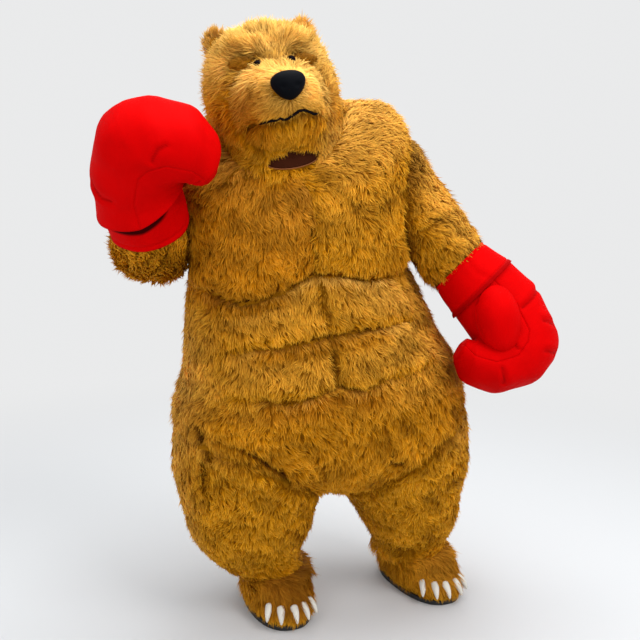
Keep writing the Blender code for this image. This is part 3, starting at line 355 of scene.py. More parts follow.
def waves(points, scale, seed, terms=7):
    """Smooth noise of about -1 to 1: a sum of sines in fixed directions, scale radians to the metre."""
    rng = np.random.default_rng(seed)
    total = 0
    for _ in range(terms):
        way = rng.normal(size=3)
        way *= scale * rng.uniform(0.6, 1.6) / np.linalg.norm(way)
        total = total + np.sin(points @ way + rng.uniform(0, 2 * math.pi))
    return total / math.sqrt(terms * 2)


def near_line(x, y, line, width):
    """1 on a line of (x, y) points, and falling to nothing about two widths from it."""
    far = np.full(np.shape(x), np.inf)
    for (ax, ay), (bx, by) in zip(line[:-1], line[1:]):
        dx, dy = bx - ax, by - ay
        t = np.clip(((x - ax) * dx + (y - ay) * dy) / (dx * dx + dy * dy), 0, 1)
        far = np.minimum(far, np.hypot(x - ax - t * dx, y - ay - t * dy))
    return np.exp(-(far / width) ** 2)


def from_line(x, y, line):
    """The distance to a line of (x, y) points, the way to it, and 1 on its run falling to 0 at its two ends."""
    line = np.array(line)
    steps = np.diff(line, axis=0)
    run = np.concatenate(([0], np.cumsum(np.linalg.norm(steps, axis=1))))
    far, to_x, to_y, place = (np.full(np.shape(x), value) for value in (np.inf, 0.0, 0.0, 0.0))
    for (ax, ay), (dx, dy), start in zip(line[:-1], steps, run):
        t = np.clip(((x - ax) * dx + (y - ay) * dy) / (dx * dx + dy * dy), 0, 1)
        way_x, way_y = ax + t * dx - x, ay + t * dy - y
        reach = np.hypot(way_x, way_y)
        nearer = reach < far
        far = np.where(nearer, reach, far)
        to_x, to_y = np.where(nearer, way_x, to_x), np.where(nearer, way_y, to_y)
        place = np.where(nearer, start + t * math.hypot(dx, dy), place)
    ends = np.minimum(place, run[-1] - place) / (LINE_TAPER * run[-1])
    return far, to_x, to_y, np.clip(ends, 0, 1)


def outline_of(angle, power, wide, fore, back):
    """The x and y of a rounded outline, fore to the front and back behind; and its cosine."""
    s, c = np.sin(np.radians(angle)), np.cos(np.radians(angle))
    return wide * rounded(s, power), -rounded(c, power) * np.where(c > 0, fore, back), c


def torso_reference(angle, level):
    a = np.abs(angle)
    front = a < 90
    sag = np.where(front, PEC_SAG * bump(level, PEC, 1.3) * np.sin(np.radians(2 * np.minimum(a, 90))), 0)
    sag += np.where(front, AB_SAG * bump(level, AB_BOTTOM, 0.8) * np.maximum(np.sin(np.radians(4 * a)), 0), 0)
    z, cx, cy, wide, fore, back, slope, drop, rise = row_at(TORSO, level)
    x, y, c = outline_of(angle, 0.9, wide, fore, back)
    z = z + slope * x - sag + np.where(c > 0, -drop, rise) * np.abs(c) ** 1.5
    return stack(cx + x, cy + y, z) - YOKE


def middle_crease(level):
    """How strong the line down the middle is: clear between the lower pads, faint above them."""
    low = np.clip((level - AB_BOTTOM + 0.2) * 4, 0, 1) * np.clip((AB_MIDDLE + 0.3 - level) * 3, 0, 1)
    return np.maximum(low, 0.35 * ((level > AB_MIDDLE) & (level < 15)))


def pad_level(angle, level):
    """The level counted from the lines between the pads, which rise and fall across the front."""
    return level - sum(np.interp(angle, *run) * bump(level, middle, RUN_WIDTH) for run, middle in
                       ((PEC_RUN, PEC), (MIDDLE_RUN, AB_MIDDLE), (BOTTOM_RUN, AB_BOTTOM)))


def on_run(angle, low, high):
    """1 between two angles, falling to 0 at each of them."""
    return rising(angle, low, RUN_FADE) * falling(angle, high, RUN_FADE)


def torso_relief(angle, level):
    """The padding's swell. It is the solid's, with tighter valleys where the pieces meet."""
    a = np.abs(angle)
    level = pad_level(angle, level)
    along = np.maximum(level - PEC, 0) / 5.0
    chest = (CHEST_SWELL * np.exp(-along * 1.2) * (1 - np.exp(-along * 22))
             * np.sin(np.pi * np.minimum(a, 92) / 92) ** 0.7)
    relief = np.where((a < 90) & (level > PEC), chest, 0)
    across = np.sin(np.pi * np.minimum(a, AB_EDGE) / AB_EDGE) ** 0.5
    for low, high in ((AB_BOTTOM, AB_MIDDLE), (AB_MIDDLE, PEC)):
        t = np.clip((level - low) / (high - low), 0, 1)
        swell = (np.sin(0.5 * np.pi * np.minimum(t / OVERHANG, 1)) ** 0.5
                 * np.cos(0.5 * np.pi * rising(t, OVERHANG, 1 - OVERHANG)) ** 0.8)
        relief = relief + np.where(a < AB_EDGE, AB_SWELL * across * swell, 0)
    for line, low, high in ((PEC, -66, 44), (AB_MIDDLE, -36, 30), (AB_BOTTOM, -33, 23)):
        relief = relief - VALLEY * bump(level, line, 0.13) * on_run(angle, low, high)
    relief = relief - middle_crease(level) * 0.011 * bump(a, 0, 2.4)
    return np.maximum(relief, -0.014)


def torso(angle, level, depth=0.0):
    angle, level = turned(angle), np.clip(level, 0, NECK)
    normal = numeric_normal(torso_reference, angle, np.clip(level, 0.05, NECK - 0.05))
    return torso_reference(angle, level) + normal * (torso_relief(angle, level) - depth)[..., None]


HEAD_TURN = np.array(Matrix.Rotation(-HEAD_ROLL, 3, "Y"))
HEAD_AXES = HEAD_TURN.T


def on_head(points):
    return np.asarray(points) @ HEAD_TURN.T + HEAD_CENTRE - YOKE


def from_head(points):
    return (np.asarray(points) + YOKE - HEAD_CENTRE) @ HEAD_TURN


def head_reference(angle, level):
    z, cy, wide, fore, back, drop, rise = row_at(HEAD, np.maximum(level, 0))
    x, y, c = outline_of(angle, 0.85, wide, fore, back)
    point = on_head(stack(x, cy + y, z + np.where(c > 0, -drop, rise) * np.abs(c) ** 1.5))
    t = np.clip(-level, 0, 1)[..., None]
    return point * (1 - t) + torso_reference(turned(angle), np.full_like(level, NECK)) * t


def head_relief(angle, level):
    """The brows, the eye hollows below them, the groove between them and the cheeks."""
    a = np.abs(turned(angle))
    relief = 0.016 * bump(level, 3.85, 0.42) * bump(a, 26, 17) - 0.010 * bump(level, 3.0, 0.5) * bump(a, 27, 14)
    relief = relief - 0.008 * bump(level, 4.0, 0.9) * bump(a, 0, 8)
    return relief + 0.012 * bump(level, 1.0, 1.0) * bump(a, 62, 26)


def head(angle, level, depth=0.0):
    normal = numeric_normal(head_reference, angle, np.minimum(level, len(HEAD) - 1.06))
    t = np.clip(-level, 0, 1)[..., None]
    below = numeric_normal(torso_reference, turned(angle), np.full_like(level, NECK - 0.05))
    normal = unit(normal * (1 - t) + below * t)
    return head_reference(angle, level) + normal * (head_relief(angle, level) - depth)[..., None]


def leg(side):
    def surface(angle, level, depth=0.0):
        z, cx, cy, wide, deep = row_at(LEGS[side], level)
        a = np.radians(angle)
        return stack(cx + (wide - depth) * np.sin(a), cy - (deep - depth) * np.cos(a), z) - YOKE
    return surface


def turn_z(points, angle):
    return np.asarray(points) @ np.array(Matrix.Rotation(angle, 3, "Z")).T


def on_foot(side, points):
    return turn_z(points, FOOT_TURNS[side]) + ANKLES[side] - YOKE


def foot_outline(angle, level, depth):
    z, fore, back, wide = row_at(FOOT, level)
    x, y, _ = outline_of(angle, 0.85, wide - depth, fore - depth, back - depth)
    return stack(x, y, z)


def foot(side):
    def surface(angle, level, depth=0.0):
        point = on_foot(side, foot_outline(angle, level, depth))
        t = np.clip(level - len(FOOT) + 2, 0, 1)[..., None]
        return point * (1 - t) + leg(side)(angle, np.full_like(level, len(LEGS[side]) - 1.0), depth) * t
    return surface


def arm_centre(curve, t):
    weights = np.stack(((1 - t) ** 3, 3 * t * (1 - t) ** 2, 3 * t * t * (1 - t), t ** 3), axis=-1)
    return weights @ curve


def arm(side):
    """A tube round a Bezier curve, no thicker on its inner side than the bend has room for."""
    shoulder, upper, forearm, wrist = ARMS[side]
    curve = np.array((shoulder, upper, wrist - unit(GLOVE_ALONG[side]) * forearm, wrist))
    elbow = arm_centre(curve, np.array(ELBOW))
    plane = np.cross(elbow - curve[0], curve[3] - elbow)
    samples = arm_centre(curve, np.linspace(0, 1, BEND_SAMPLES + 1))

    def surface(angle, t, depth=0.0):
        weights = np.stack(((1 - t) ** 2, 2 * t * (1 - t), t * t), axis=-1)
        forward = unit(weights @ np.diff(curve, axis=0))
        across = unit(plane - forward * (forward @ plane)[..., None])
        out = unit(np.cross(forward, across))
        a = np.radians(angle)[..., None]
        towards = across * np.sin(a) + out * np.cos(a)
        here = arm_centre(curve, t)
        away = samples - here[..., None, :]
        ahead = np.einsum("...ij,...j->...i", away, towards)
        length2 = (away ** 2).sum(-1)
        room = np.where((ahead > 1e-6) & (length2 > 1e-8), length2 / (2 * np.maximum(ahead, 1e-6)), np.inf)
        radius = np.interp(t, ARM_RADII[:, 0], ARM_RADII[:, 1])
        reach = np.minimum(radius, BEND_SHARE * room.min(-1)) - depth
        return here + towards * reach[..., None] - YOKE
    return surface


def glove_axes(side):
    """Rows: along the hand, towards the palm, and across to the thumb; and the origin at the cuff's hem."""
    along = unit(GLOVE_ALONG[side])
    palm = unit(GLOVE_PALM[side] - along * (GLOVE_PALM[side] @ along))
    thumb = np.cross(along, palm)
    if thumb[1] * SIGN[side] > 0:
        thumb = -thumb
    return np.array((along, palm, thumb)), ARMS[side][3] + along * CUFF_LENGTH


def on_glove(side, points):
    axes, origin = glove_axes(side)
    return np.asarray(points) @ axes + origin - YOKE


def glove_ring(side, angle, level):
    """The hand's outline, mostly straight between its corners, in the glove's own axes."""
    curved = row_at(GLOVE, level)
    straight = np.stack([np.interp(level, GLOVE_CORNERS, row) for row in row_at(GLOVE, GLOVE_CORNERS)])
    inner_d, inner_n, outer_d, outer_n, across = curved + (straight - curved) * GLOVE_FLAT
    swell = 1 + (GLOVE_SWELL[side] - 1) * bump(level, 0, 0.9)
    a = np.radians(angle)
    blend = 0.5 + 0.5 * rounded(np.cos(a), 0.9)
    d = inner_d + (outer_d - inner_d) * blend
    n = inner_n + (outer_n - inner_n) * blend
    return stack(d * GLOVE_REACH[side], n * swell, across * swell * rounded(np.sin(a), 0.85))


def cuff_surface(side, angle, t, depth=0.0, under=0.0):
    """The cuff from its top, 0, to its hem, 1; under is how far it goes on beneath the hand."""
    length = CUFF_LENGTH + CUFF_REACH[side] + under - CUFF_SHORT[side]
    d = CUFF_SHORT[side] - CUFF_LENGTH + length * t
    a = np.radians(angle)
    r = CUFF_TOP + CUFF_LOOSE[side] * (1 - 0.6 * t) + (CUFF_HEM[side] - CUFF_TOP) * np.minimum(t, 1)
    r = r - CUFF_TUCK * rising(d, 0.01, 0.05)
    out = r + CUFF_WAVES * waves(stack(r * np.cos(a), r * np.sin(a), d), 45, 61)
    return on_glove(side, stack(d, (out - depth) * np.cos(a), (out - depth) * np.sin(a)))


def muzzle_at(angle, level, depth=0.0):
    y, cz, wide, high = row_at(MUZZLE, level)
    a = np.radians(angle)
    x = np.maximum(wide - depth, 0.2 * wide) * rounded(np.cos(a), 0.8)
    up = np.maximum(high - depth, 0.2 * high) * rounded(np.sin(a), 0.8)
    return on_head(stack(x, y - up * MUZZLE_SHEAR + depth * level / (len(MUZZLE) - 1), cz + up))


def mouth_height(x):
    return np.interp(x, *MOUTH_RUN)


# ---------------------------------------------------------------- meshes


def grid(a_range, b_range, step_a, step_b):
    across = max(int(round(abs(a_range[1] - a_range[0]) / step_a)), 2)
    along = max(int(round(abs(b_range[1] - b_range[0]) / step_b)), 2)
    return np.meshgrid(np.linspace(*a_range, across + 1), np.linspace(*b_range, along + 1))


def indices(rows, columns, closed=False):
    """A grid of point numbers; a closed one comes back to its first column."""
    i = np.arange(rows * columns).reshape(rows, columns)
    return np.concatenate((i, i[:, :1]), axis=1) if closed else i


def cells(i):
    """The four corners of each cell of a grid of point numbers, in order round it."""
    return np.stack((i[:-1, :-1], i[:-1, 1:], i[1:, 1:], i[1:, :-1]), axis=-1).reshape(-1, 4)


def mesh_of(name, points, faces):
    """A smooth mesh from points and faces, all of one number of corners, or a list of such arrays."""
    groups = faces if isinstance(faces, list) else [faces]
    data = bpy.data.meshes.new(name)
    data.vertices.add(len(points))
    data.vertices.foreach_set("co", np.ascontiguousarray(points, np.float32).ravel())
    corners = np.concatenate([g.ravel() for g in groups]).astype(np.int32)
    sizes = np.concatenate([np.full(len(g), g.shape[1]) for g in groups])
    data.loops.add(len(corners))
    data.loops.foreach_set("vertex_index", corners)
    data.polygons.add(len(sizes))
    starts = np.concatenate(([0], np.cumsum(sizes)[:-1])).astype(np.int32)
    data.polygons.foreach_set("loop_start", starts)
    data.update(calc_edges=True)
    data.validate()
    data.shade_smooth()
    return data


def add_to_scene(name, data):
    obj = bpy.data.objects.new(name, data)
    bpy.context.scene.collection.objects.link(obj)
    return obj


def new_piece(name, data, material, node_slot):
    obj = add_to_scene(name, data)
    data.materials.append(material)
    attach(obj, "root")
    return obj


def thicken(obj, thickness):
    """Gives a sheet its thickness, on its inner side."""
    made = obj.modifiers.new("thickness", "SOLIDIFY")
    made.thickness, made.offset = thickness, -1


def attribute(data, name, values, kind="FLOAT"):
    layer = data.attributes.new(name, kind, "POINT")
    flat = np.ascontiguousarray(values, np.float32).ravel()
    layer.data.foreach_set("vector" if kind == "FLOAT_VECTOR" else "value", flat)


def grid_tree(points):
    """A search tree of the surface through a grid of points."""
    faces = cells(indices(*points.shape[:2]))
    return BVHTree.FromPolygons(points.reshape(-1, 3).tolist(), faces.tolist())


def nearest_on(tree, points):
    """How far each point is outside the tree's surface, negative inside it, and the surface's normal there."""
    flat = points.reshape(-1, 3)
    found, normals = np.empty(len(flat)), np.empty((len(flat), 3))
    for k, p in enumerate(flat):
        place, normal, _, far = tree.find_nearest(Vector(p))
        found[k] = math.copysign(far, (Vector(p) - place).dot(normal))
        normals[k] = normal
    return found.reshape(points.shape[:-1]), normals.reshape(points.shape)


def tube_mesh(surface, a_range, b_range, step_a, step_b):
    """(points, faces) of a closed solid from a tube, its ends closed to their middles, facing outwards."""
    a, b = grid(a_range, b_range, step_a, step_b)
    points = surface(a, b)[:, :-1]
    rows, columns = points.shape[:2]
    i = indices(rows, columns, closed=True)
    flat = np.concatenate((points.reshape(-1, 3), (points[0].mean(0), points[-1].mean(0))))
    sides = cells(i)
    low = np.stack((i[0, 1:], i[0, :-1], np.full(columns, rows * columns)), axis=-1)
    high = np.stack((i[-1, :-1], i[-1, 1:], np.full(columns, rows * columns + 1)), axis=-1)
    triangles = flat[np.concatenate((sides[:, :3], sides[:, (0, 2, 3)], low, high))] - flat.mean(0)
    step = -1 if np.linalg.det(triangles).sum() < 0 else 1
    return flat, [sides[:, ::step], low[:, ::step], high[:, ::step]]


def capped_tree(surface, a_range, b_range, step_a, step_b):
    points, faces = tube_mesh(surface, a_range, b_range, step_a, step_b)
    return BVHTree.FromPolygons(points.tolist(), [face for group in faces for face in group.tolist()])


def cell_centre(q, size, seed):
    """The middle of the tuft that each flat point belongs to, and a random number for that tuft."""
    cell = np.floor(q / size)
    mixed = np.sin(cell @ np.array((127.1, 311.7)) + seed) * 43758.5453
    mixed_2 = np.sin(cell @ np.array((269.5, 183.3)) + seed * 1.7) * 24634.6345
    jitter = np.stack((mixed - np.floor(mixed), mixed_2 - np.floor(mixed_2)), axis=-1)
    third = mixed * 7.31
    return (cell + 0.5 + (jitter - 0.5) * 0.9) * size, third - np.floor(third)


class Patch:
    """A grid of points over one piece of cloth, with what each point's fur needs to know."""

    def __init__(self, surface, a_range, b_range, step_a, step_b, depth):
        self.a, self.b = grid(a_range, b_range, step_a, step_b)
        self.tips = surface(self.a, self.b)
        self.rows, self.columns = self.a.shape
        across, along = np.gradient(self.tips, axis=1), np.gradient(self.tips, axis=0)
        normal = unit(np.cross(across, along))
        middle = self.tips.reshape(-1, 3).mean(0)
        self.flip = ((self.tips - middle) * normal).sum(-1).mean() < 0
        self.normal = -normal if self.flip else normal
        self.across, self.along = unit(across), unit(along)
        self.depth = depth
        self.points = surface(self.a, self.b, depth)
        self.up = unit(self.tips - self.points + 1e-9 * self.normal)
        self.keep, self.length, self.tone = (np.ones(self.a.shape) for _ in range(3))
        self.warm = np.zeros(self.a.shape)
        # painted light: fur that faces upwards is paler, as if lit from above
        self.pale = PAINTED_TOP_LIGHT * np.clip(self.normal[..., 2], 0, 1) ** 1.2
        self.comb = -self.along
        self.lines = ()

    def faces(self, stride):
        rows = np.unique(np.append(np.arange(0, self.rows, stride), self.rows - 1))
        columns = np.unique(np.append(np.arange(0, self.columns, stride), self.columns - 1))
        quads = cells(indices(self.rows, self.columns)[np.ix_(rows, columns)])
        return quads[:, ::-1] if self.flip else quads

    def comb_to(self, way):
        """Lays the fur along these directions, each brought into the cloth's own surface."""
        inwards = (way * self.normal).sum(-1, keepdims=True)
        self.comb = unit(way - self.normal * inwards)
        return self

    def away_from(self, tree, margin=0.004, soft=0.035, shorten=0.5, darken=0.45):
        """Leaves out what lies inside another form, and shortens the fur that meets it and darkens it with
        painted shade.
        """
        far, _ = nearest_on(tree, self.points)
        self.keep = np.minimum(self.keep, far + margin)
        near = np.clip((far + margin) / soft, 0, 1)
        self.length *= shorten + (1 - shorten) * near
        self.tone *= 1 - darken * (1 - near) ** 1.5
        return self

    def puff(self, height):
        """Stands the cloth off its solid where the pile is thickest."""
        move = self.normal * height[..., None]
        self.points, self.tips = self.points + move, self.tips + move

    def ease_into(self, tree, reach, height):
        """Rounds the valley where this cloth meets another form, both drawn the same way at their line."""
        far, other = nearest_on(tree, self.points)
        share = 1 - np.clip(far / reach, 0, 1)[..., None]
        front = EASE_SIDES + (1 - EASE_SIDES) * np.clip(-self.normal[..., 1:2], 0, 1)
        front = front * np.clip(1 + far / EASE_DIVE, 0, 1)[..., None]
        move = unit(self.normal + other * share) * height * front * share ** 2
        self.points, self.tips = self.points + move, self.tips + move
        self.normal, self.up = unit(self.normal + other * share), unit(self.up + other * share)
        return self.comb_to(self.comb)

    def walked(self, axis):
        """The distance walked over the cloth along one axis of the grid, from its first row or column."""
        first = self.points[:, :1] if axis else self.points[:1]
        steps = np.diff(self.points, axis=axis, prepend=first)
        return np.cumsum(np.linalg.norm(steps, axis=2), axis=axis)

    def flat_size(self, quads):
        """(width, length, area) of the cloth laid flat, in metres."""
        corners = self.points.reshape(-1, 3)[quads]
        cross = np.cross(corners[:, 2] - corners[:, 0], corners[:, 3] - corners[:, 1])
        shown = self.keep > 0
        across = np.linalg.norm(np.diff(self.points, axis=1), axis=2) * (shown[:, 1:] | shown[:, :-1])
        along = np.linalg.norm(np.diff(self.points, axis=0), axis=2) * (shown[1:] | shown[:-1])
        wide, long = across.sum(1).max(), along.sum(0).max()
        area = 0.5 * float(np.linalg.norm(cross, axis=1).sum())
        return round(float(wide), 2), round(float(long), 2), round(area, 3)


def skin(node, patch, material, slot_name, stride):
    """The backing cloth of a fur piece: a thin shell on the form of its solid, under the pile."""
    quads = patch.faces(stride)
    quads = quads[patch.keep.reshape(-1)[quads].max(1) > -SKIN_UNDER]
    used, index = np.unique(quads, return_inverse=True)
    data = mesh_of(f"skin_{node}", patch.points.reshape(-1, 3)[used], index.reshape(quads.shape))
    obj = new_piece(f"skin_{node}", data, material, slot_name)
    thicken(obj, SKIN_THICK)
    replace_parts(obj, node)
    return obj, quads


def sample(patch, density, rng):
    """Random places on the kept part of a patch: the four grid corners of each, and their weights."""
    corners = cells(indices(patch.rows, patch.columns))[:, (0, 1, 3, 2)]
    flat = patch.points.reshape(-1, 3)
    side_a, side_b = flat[corners[:, 1]] - flat[corners[:, 0]], flat[corners[:, 2]] - flat[corners[:, 0]]
    areas = np.linalg.norm(np.cross(side_a, side_b), axis=1) * (patch.keep.reshape(-1)[corners].max(1) > 0)
    count = int(areas.sum() * density)
    chosen = corners[rng.choice(len(areas), count, p=areas / areas.sum())]
    u, v = rng.random(count), rng.random(count)
    weights = np.stack(((1 - u) * (1 - v), u * (1 - v), (1 - u) * v, u * v), axis=-1)
    return chosen, weights




def grow(node, patch, density, length, width, material, slot_name, seed, tuft=TUFT_SIZE, swirl=SWIRL_TURN,
         rise=1.0):
    """The pile of one piece: flat strands, each a kite of two triangles, combed and drawn into tufts."""
    rng = np.random.default_rng(seed)
    chosen, weights = sample(patch, density, rng)

    def at(values):
        flat = values.reshape(patch.rows * patch.columns, -1)
        return (flat[chosen] * weights[..., None]).sum(1)

    keep = at(patch.keep)[:, 0] > 0
    chosen, weights = chosen[keep], weights[keep]
    count = len(chosen)
    flat_a, flat_b = patch.walked(1), patch.walked(0)
    flat_a = flat_a - flat_a[:, patch.columns // 2][:, None]
    root, up, normal, comb = at(patch.points), unit(at(patch.up)), unit(at(patch.normal)), unit(at(patch.comb))
    across, along, share = unit(at(patch.across)), unit(at(patch.along)), at(patch.length)[:, 0]
    q = np.concatenate((at(flat_a), at(flat_b)), axis=1)
    q += 0.35 * tuft * np.stack((waves(root, 90, 5), waves(root, 90, 6)), axis=-1)
    centre, tuft_random = cell_centre(q, tuft, 3.1 + seed % 7)
    tuft_random_2 = (tuft_random * 17.13) % 1
    pull = centre - q
    turn = (swirl * waves(root, SWIRL_SCALE, 11) + 0.5 * swirl * waves(root, 2.6 * SWIRL_SCALE, 12)
            + TUFT_TURN * (2 * tuft_random - 1) + BLADE_TURN * rng.normal(size=count))
    lie = comb * np.cos(turn)[:, None] + np.cross(normal, comb) * np.sin(turn)[:, None]
    reach = length * share * (0.75 + 0.5 * tuft_random_2) * rng.uniform(*REACH_SPREAD, count)
    high = (rise * patch.depth * rng.uniform(*HIGH_SPREAD, count) * (0.75 + 0.4 * tuft_random_2)
            * np.minimum(1, share + 0.2))
    tone = at(patch.tone)[:, 0]
    # along each line the fur parts, stops short and sinks, and gets painted shade
    for line, line_width, dark in patch.lines:
        far, to_x, to_z, run = from_line(root[:, 0], root[:, 2], line)
        run = run * np.clip(0.4 - 3 * normal[:, 1], 0, 1)
        near = run * np.exp(-(far / line_width) ** 2)
        some_way = np.maximum(far, 1e-6)
        heading = (lie[:, 0] * to_x + lie[:, 2] * to_z) / some_way
        push = PARTING * run * dark * np.exp(-(far / PARTING_REACH) ** 2) * (1 - heading ** 2) / some_way
        lie = unit(lie - stack(to_x * push, 0, to_z * push))
        heading = (lie[:, 0] * to_x + lie[:, 2] * to_z) / some_way
        room = np.where(heading > 0.3, far / np.maximum(heading, 0.3) + LINE_ROOM, np.inf)
        reach += np.minimum(room - reach, 0) * run * min(1.2 * dark, 1)
        reach *= 1 - LINE_SHORT * near
        root = root - normal * (LINE_SINK * near)[:, None]
        tone = tone * (1 - dark * near)
    gather = (across * pull[:, :1] + along * pull[:, 1:]) * TUFT_PULL
    middle = root + up * (MIDDLE_HIGH * high)[:, None] + lie * (MIDDLE_ALONG * reach)[:, None] + gather * 0.3
    lift = (TIP_LIFT[0] + TIP_LIFT[1] * rng.random(count) ** 2)[:, None]
    tip = root + up * lift * high[:, None] + lie * reach[:, None] + gather
    twist = rng.uniform(-BLADE_TWIST, BLADE_TWIST, count)[:, None]
    side = np.cross(lie, normal) * np.cos(twist) + normal * np.sin(twist)
    half = (0.5 * width * rng.uniform(*WIDTH_SPREAD, count))[:, None]
    points = np.stack((root, middle - side * half, middle + side * half, tip), axis=1)
    facing = unit(np.cross(side, tip - middle))
    shared = normal * SURFACE_SHARE + facing * (1 - SURFACE_SHARE)
    normals = unit(np.stack((shared, shared - side * ROUNDING, shared + side * ROUNDING, shared), axis=1))
    i = np.arange(count)[:, None] * 4
    faces = np.stack((i + (0, 2, 1), i + (1, 2, 3)), axis=1).reshape(-1, 3)
    data = mesh_of(f"fur_{node}", points.reshape(-1, 3), faces)
    attribute(data, "custom_normal", normals.reshape(-1, 3), "FLOAT_VECTOR")
    attribute(data, "along", np.tile((0.0, 0.55, 0.55, 1.0), count))
    shade = (0.5 + SHADE_WAVES * waves(root, 55, 21) + SHADE_TUFTS * (tuft_random - 0.5)
             + SHADE_STRANDS * rng.normal(size=count))
    for name, values in (("shade", shade), ("tone", tone), ("warm", at(patch.warm)), ("pale", at(patch.pale))):
        attribute(data, name, np.outer(values, np.ones(4)))
    return new_piece(f"fur_{node}", data, material, slot_name)


def dress(node, patch, density=46000, length=0.036, width=0.0038, slot_name="long_pile_fur", fur="long",
          stride=2, seed=0, **more):
    """One fur piece: its backing cloth and the pile on it."""
    backing, quads = skin(node, patch, MATERIALS["backing"], slot_name, stride)
    wide, long, area = patch.flat_size(quads)
    pile = grow(node, patch, density * DETAIL, length, width, MATERIALS[fur], slot_name, seed, **more)
    area = min(max(area, 0.301 * wide * long), wide * long)


# ---------------------------------------------------------------- materials


class Shading:
    """A new material, with short ways to make its nodes."""

    def __init__(self, name):
        self.material = bpy.data.materials.new(name)
        self.material.use_nodes = True
        self.nodes, self.links = self.material.node_tree.nodes, self.material.node_tree.links
        self.shader = self.nodes["Principled BSDF"]

    def feed(self, node, inputs):
        """Sets a node's inputs to numbers and colours, or links other nodes' outputs to them."""
        for key, value in inputs.items():
            if isinstance(value, bpy.types.NodeSocket):
                self.links.new(value, node.inputs[key])
            else:
                node.inputs[key].default_value = (*value, 1) if isinstance(value, tuple) else value
        return node

    def node(self, kind, inputs):
        return self.feed(self.nodes.new("ShaderNode" + kind), inputs)

    def math(self, operation, *values):
        made = self.node("Math", dict(enumerate(values)))
        made.operation = operation
        return made.outputs[0]

    def mix(self, blend, factor, first, second):
        made = self.nodes.new("ShaderNodeMix")
        made.data_type, made.blend_type = "RGBA", blend
        return self.feed(made, {"Factor": factor, 6: first, 7: second}).outputs[2]

    def ramp(self, value, stops):
        made = self.node("ValToRGB", {"Fac": value})
        elements = made.color_ramp.elements
        while len(elements) < len(stops):
            elements.new(0.5)
        for element, (place, colour) in zip(elements, stops):
            element.position = place
            element.color = (*colour, 1)
        return made.outputs["Color"]

    def named(self, name):
        """One of the mesh's own attributes, which is 0 where the mesh has none of that name."""
        made = self.nodes.new("ShaderNodeAttribute")
        made.attribute_name = name
        return made.outputs["Fac"]

    def place(self):
        return self.node("TexCoord", {}).outputs["Object"]

    def noise(self, place, scale):
        return self.node("TexNoise", {"Vector": place, "Scale": scale}).outputs["Fac"]

    def channels(self, *values):
        return self.node("CombineColor", dict(enumerate(values))).outputs[0]

    def blend_shaders(self, factor, first, second):
        """Mixes two shaders into the material's surface."""
        both = self.node("MixShader", {0: factor, 1: first.outputs[0], 2: second.outputs[0]})
        self.links.new(both.outputs[0], self.nodes["Material Output"].inputs["Surface"])


FUR_ROOT, FUR_MIDDLE, FUR_TIP = (0.35, 0.120, 0.001), (0.60, 0.245, 0.003), (0.86, 0.455, 0.032)
FUR_WARM, FUR_PALE = (0.46, 0.12, 0.001), (0.95, 0.62, 0.16)
# how fast each channel darkens in the fur's shade: blue fastest, so that the shade is browner
SHADE_POWERS = (0.85, 1.0, 1.35)
SHADE_GAIN, SHADE_BASE = 1.1, 0.42
SLOW_SCALE, SLOW_STOPS = 14.0, (0.3, 0.7)


def fur_material(name, root, middle, tip, warm, through=0.30):
    """Strands darker at the root, browner or paler where the piece says so, with light through them. Their tone
    is mostly painted shade; the browning and paleness are partly painted shade and light.
    """
    made = Shading(name)
    colour = made.ramp(made.named("along"), ((0.0, root), (0.55, middle), (1.0, tip)))
    colour = made.mix("MIX", made.named("warm"), colour, warm)
    colour = made.mix("MIX", made.named("pale"), colour, FUR_PALE)
    shade = made.math("MULTIPLY_ADD", made.named("shade"), SHADE_GAIN, SHADE_BASE)
    bright = made.math("MULTIPLY", shade, made.named("tone"))
    grey = made.channels(*(made.math("POWER", bright, power) for power in SHADE_POWERS))
    colour = made.mix("MULTIPLY", 1.0, colour, grey)
    made.feed(made.shader, {"Base Color": colour, "Roughness": 0.55, "Specular IOR Level": 0.04})
    made.blend_shaders(through, made.shader, made.node("BsdfTranslucent", {"Color": colour}))
    return made.material


def plain_material(name, colour, roughness, specular, grain=0.0, grain_scale=900.0, spread=0.12):
    """A solid colour with a fine grain, a little slow change of brightness over the surface, and the painted
    shade of the mesh's dark attribute.
    """
    made = Shading(name)
    place = made.place()
    dark = tuple(c * (1 - spread) for c in colour)
    light = tuple(min(c * (1 + spread), 1) for c in colour)
    shades = made.ramp(made.noise(place, SLOW_SCALE), tuple(zip(SLOW_STOPS, (dark, light))))
    lit = made.math("SUBTRACT", 1.0, made.named("dark"))
    colour = made.mix("MULTIPLY", 1.0, shades, made.channels(lit, lit, lit))
    made.feed(made.shader, {"Base Color": colour, "Roughness": roughness, "Specular IOR Level": specular})
    if grain:
        fine = made.noise(place, grain_scale)
        relief = made.node("Bump", {"Strength": grain, "Distance": 0.001, "Height": fine})
        made.feed(made.shader, {"Normal": relief.outputs["Normal"]})
    return made.material


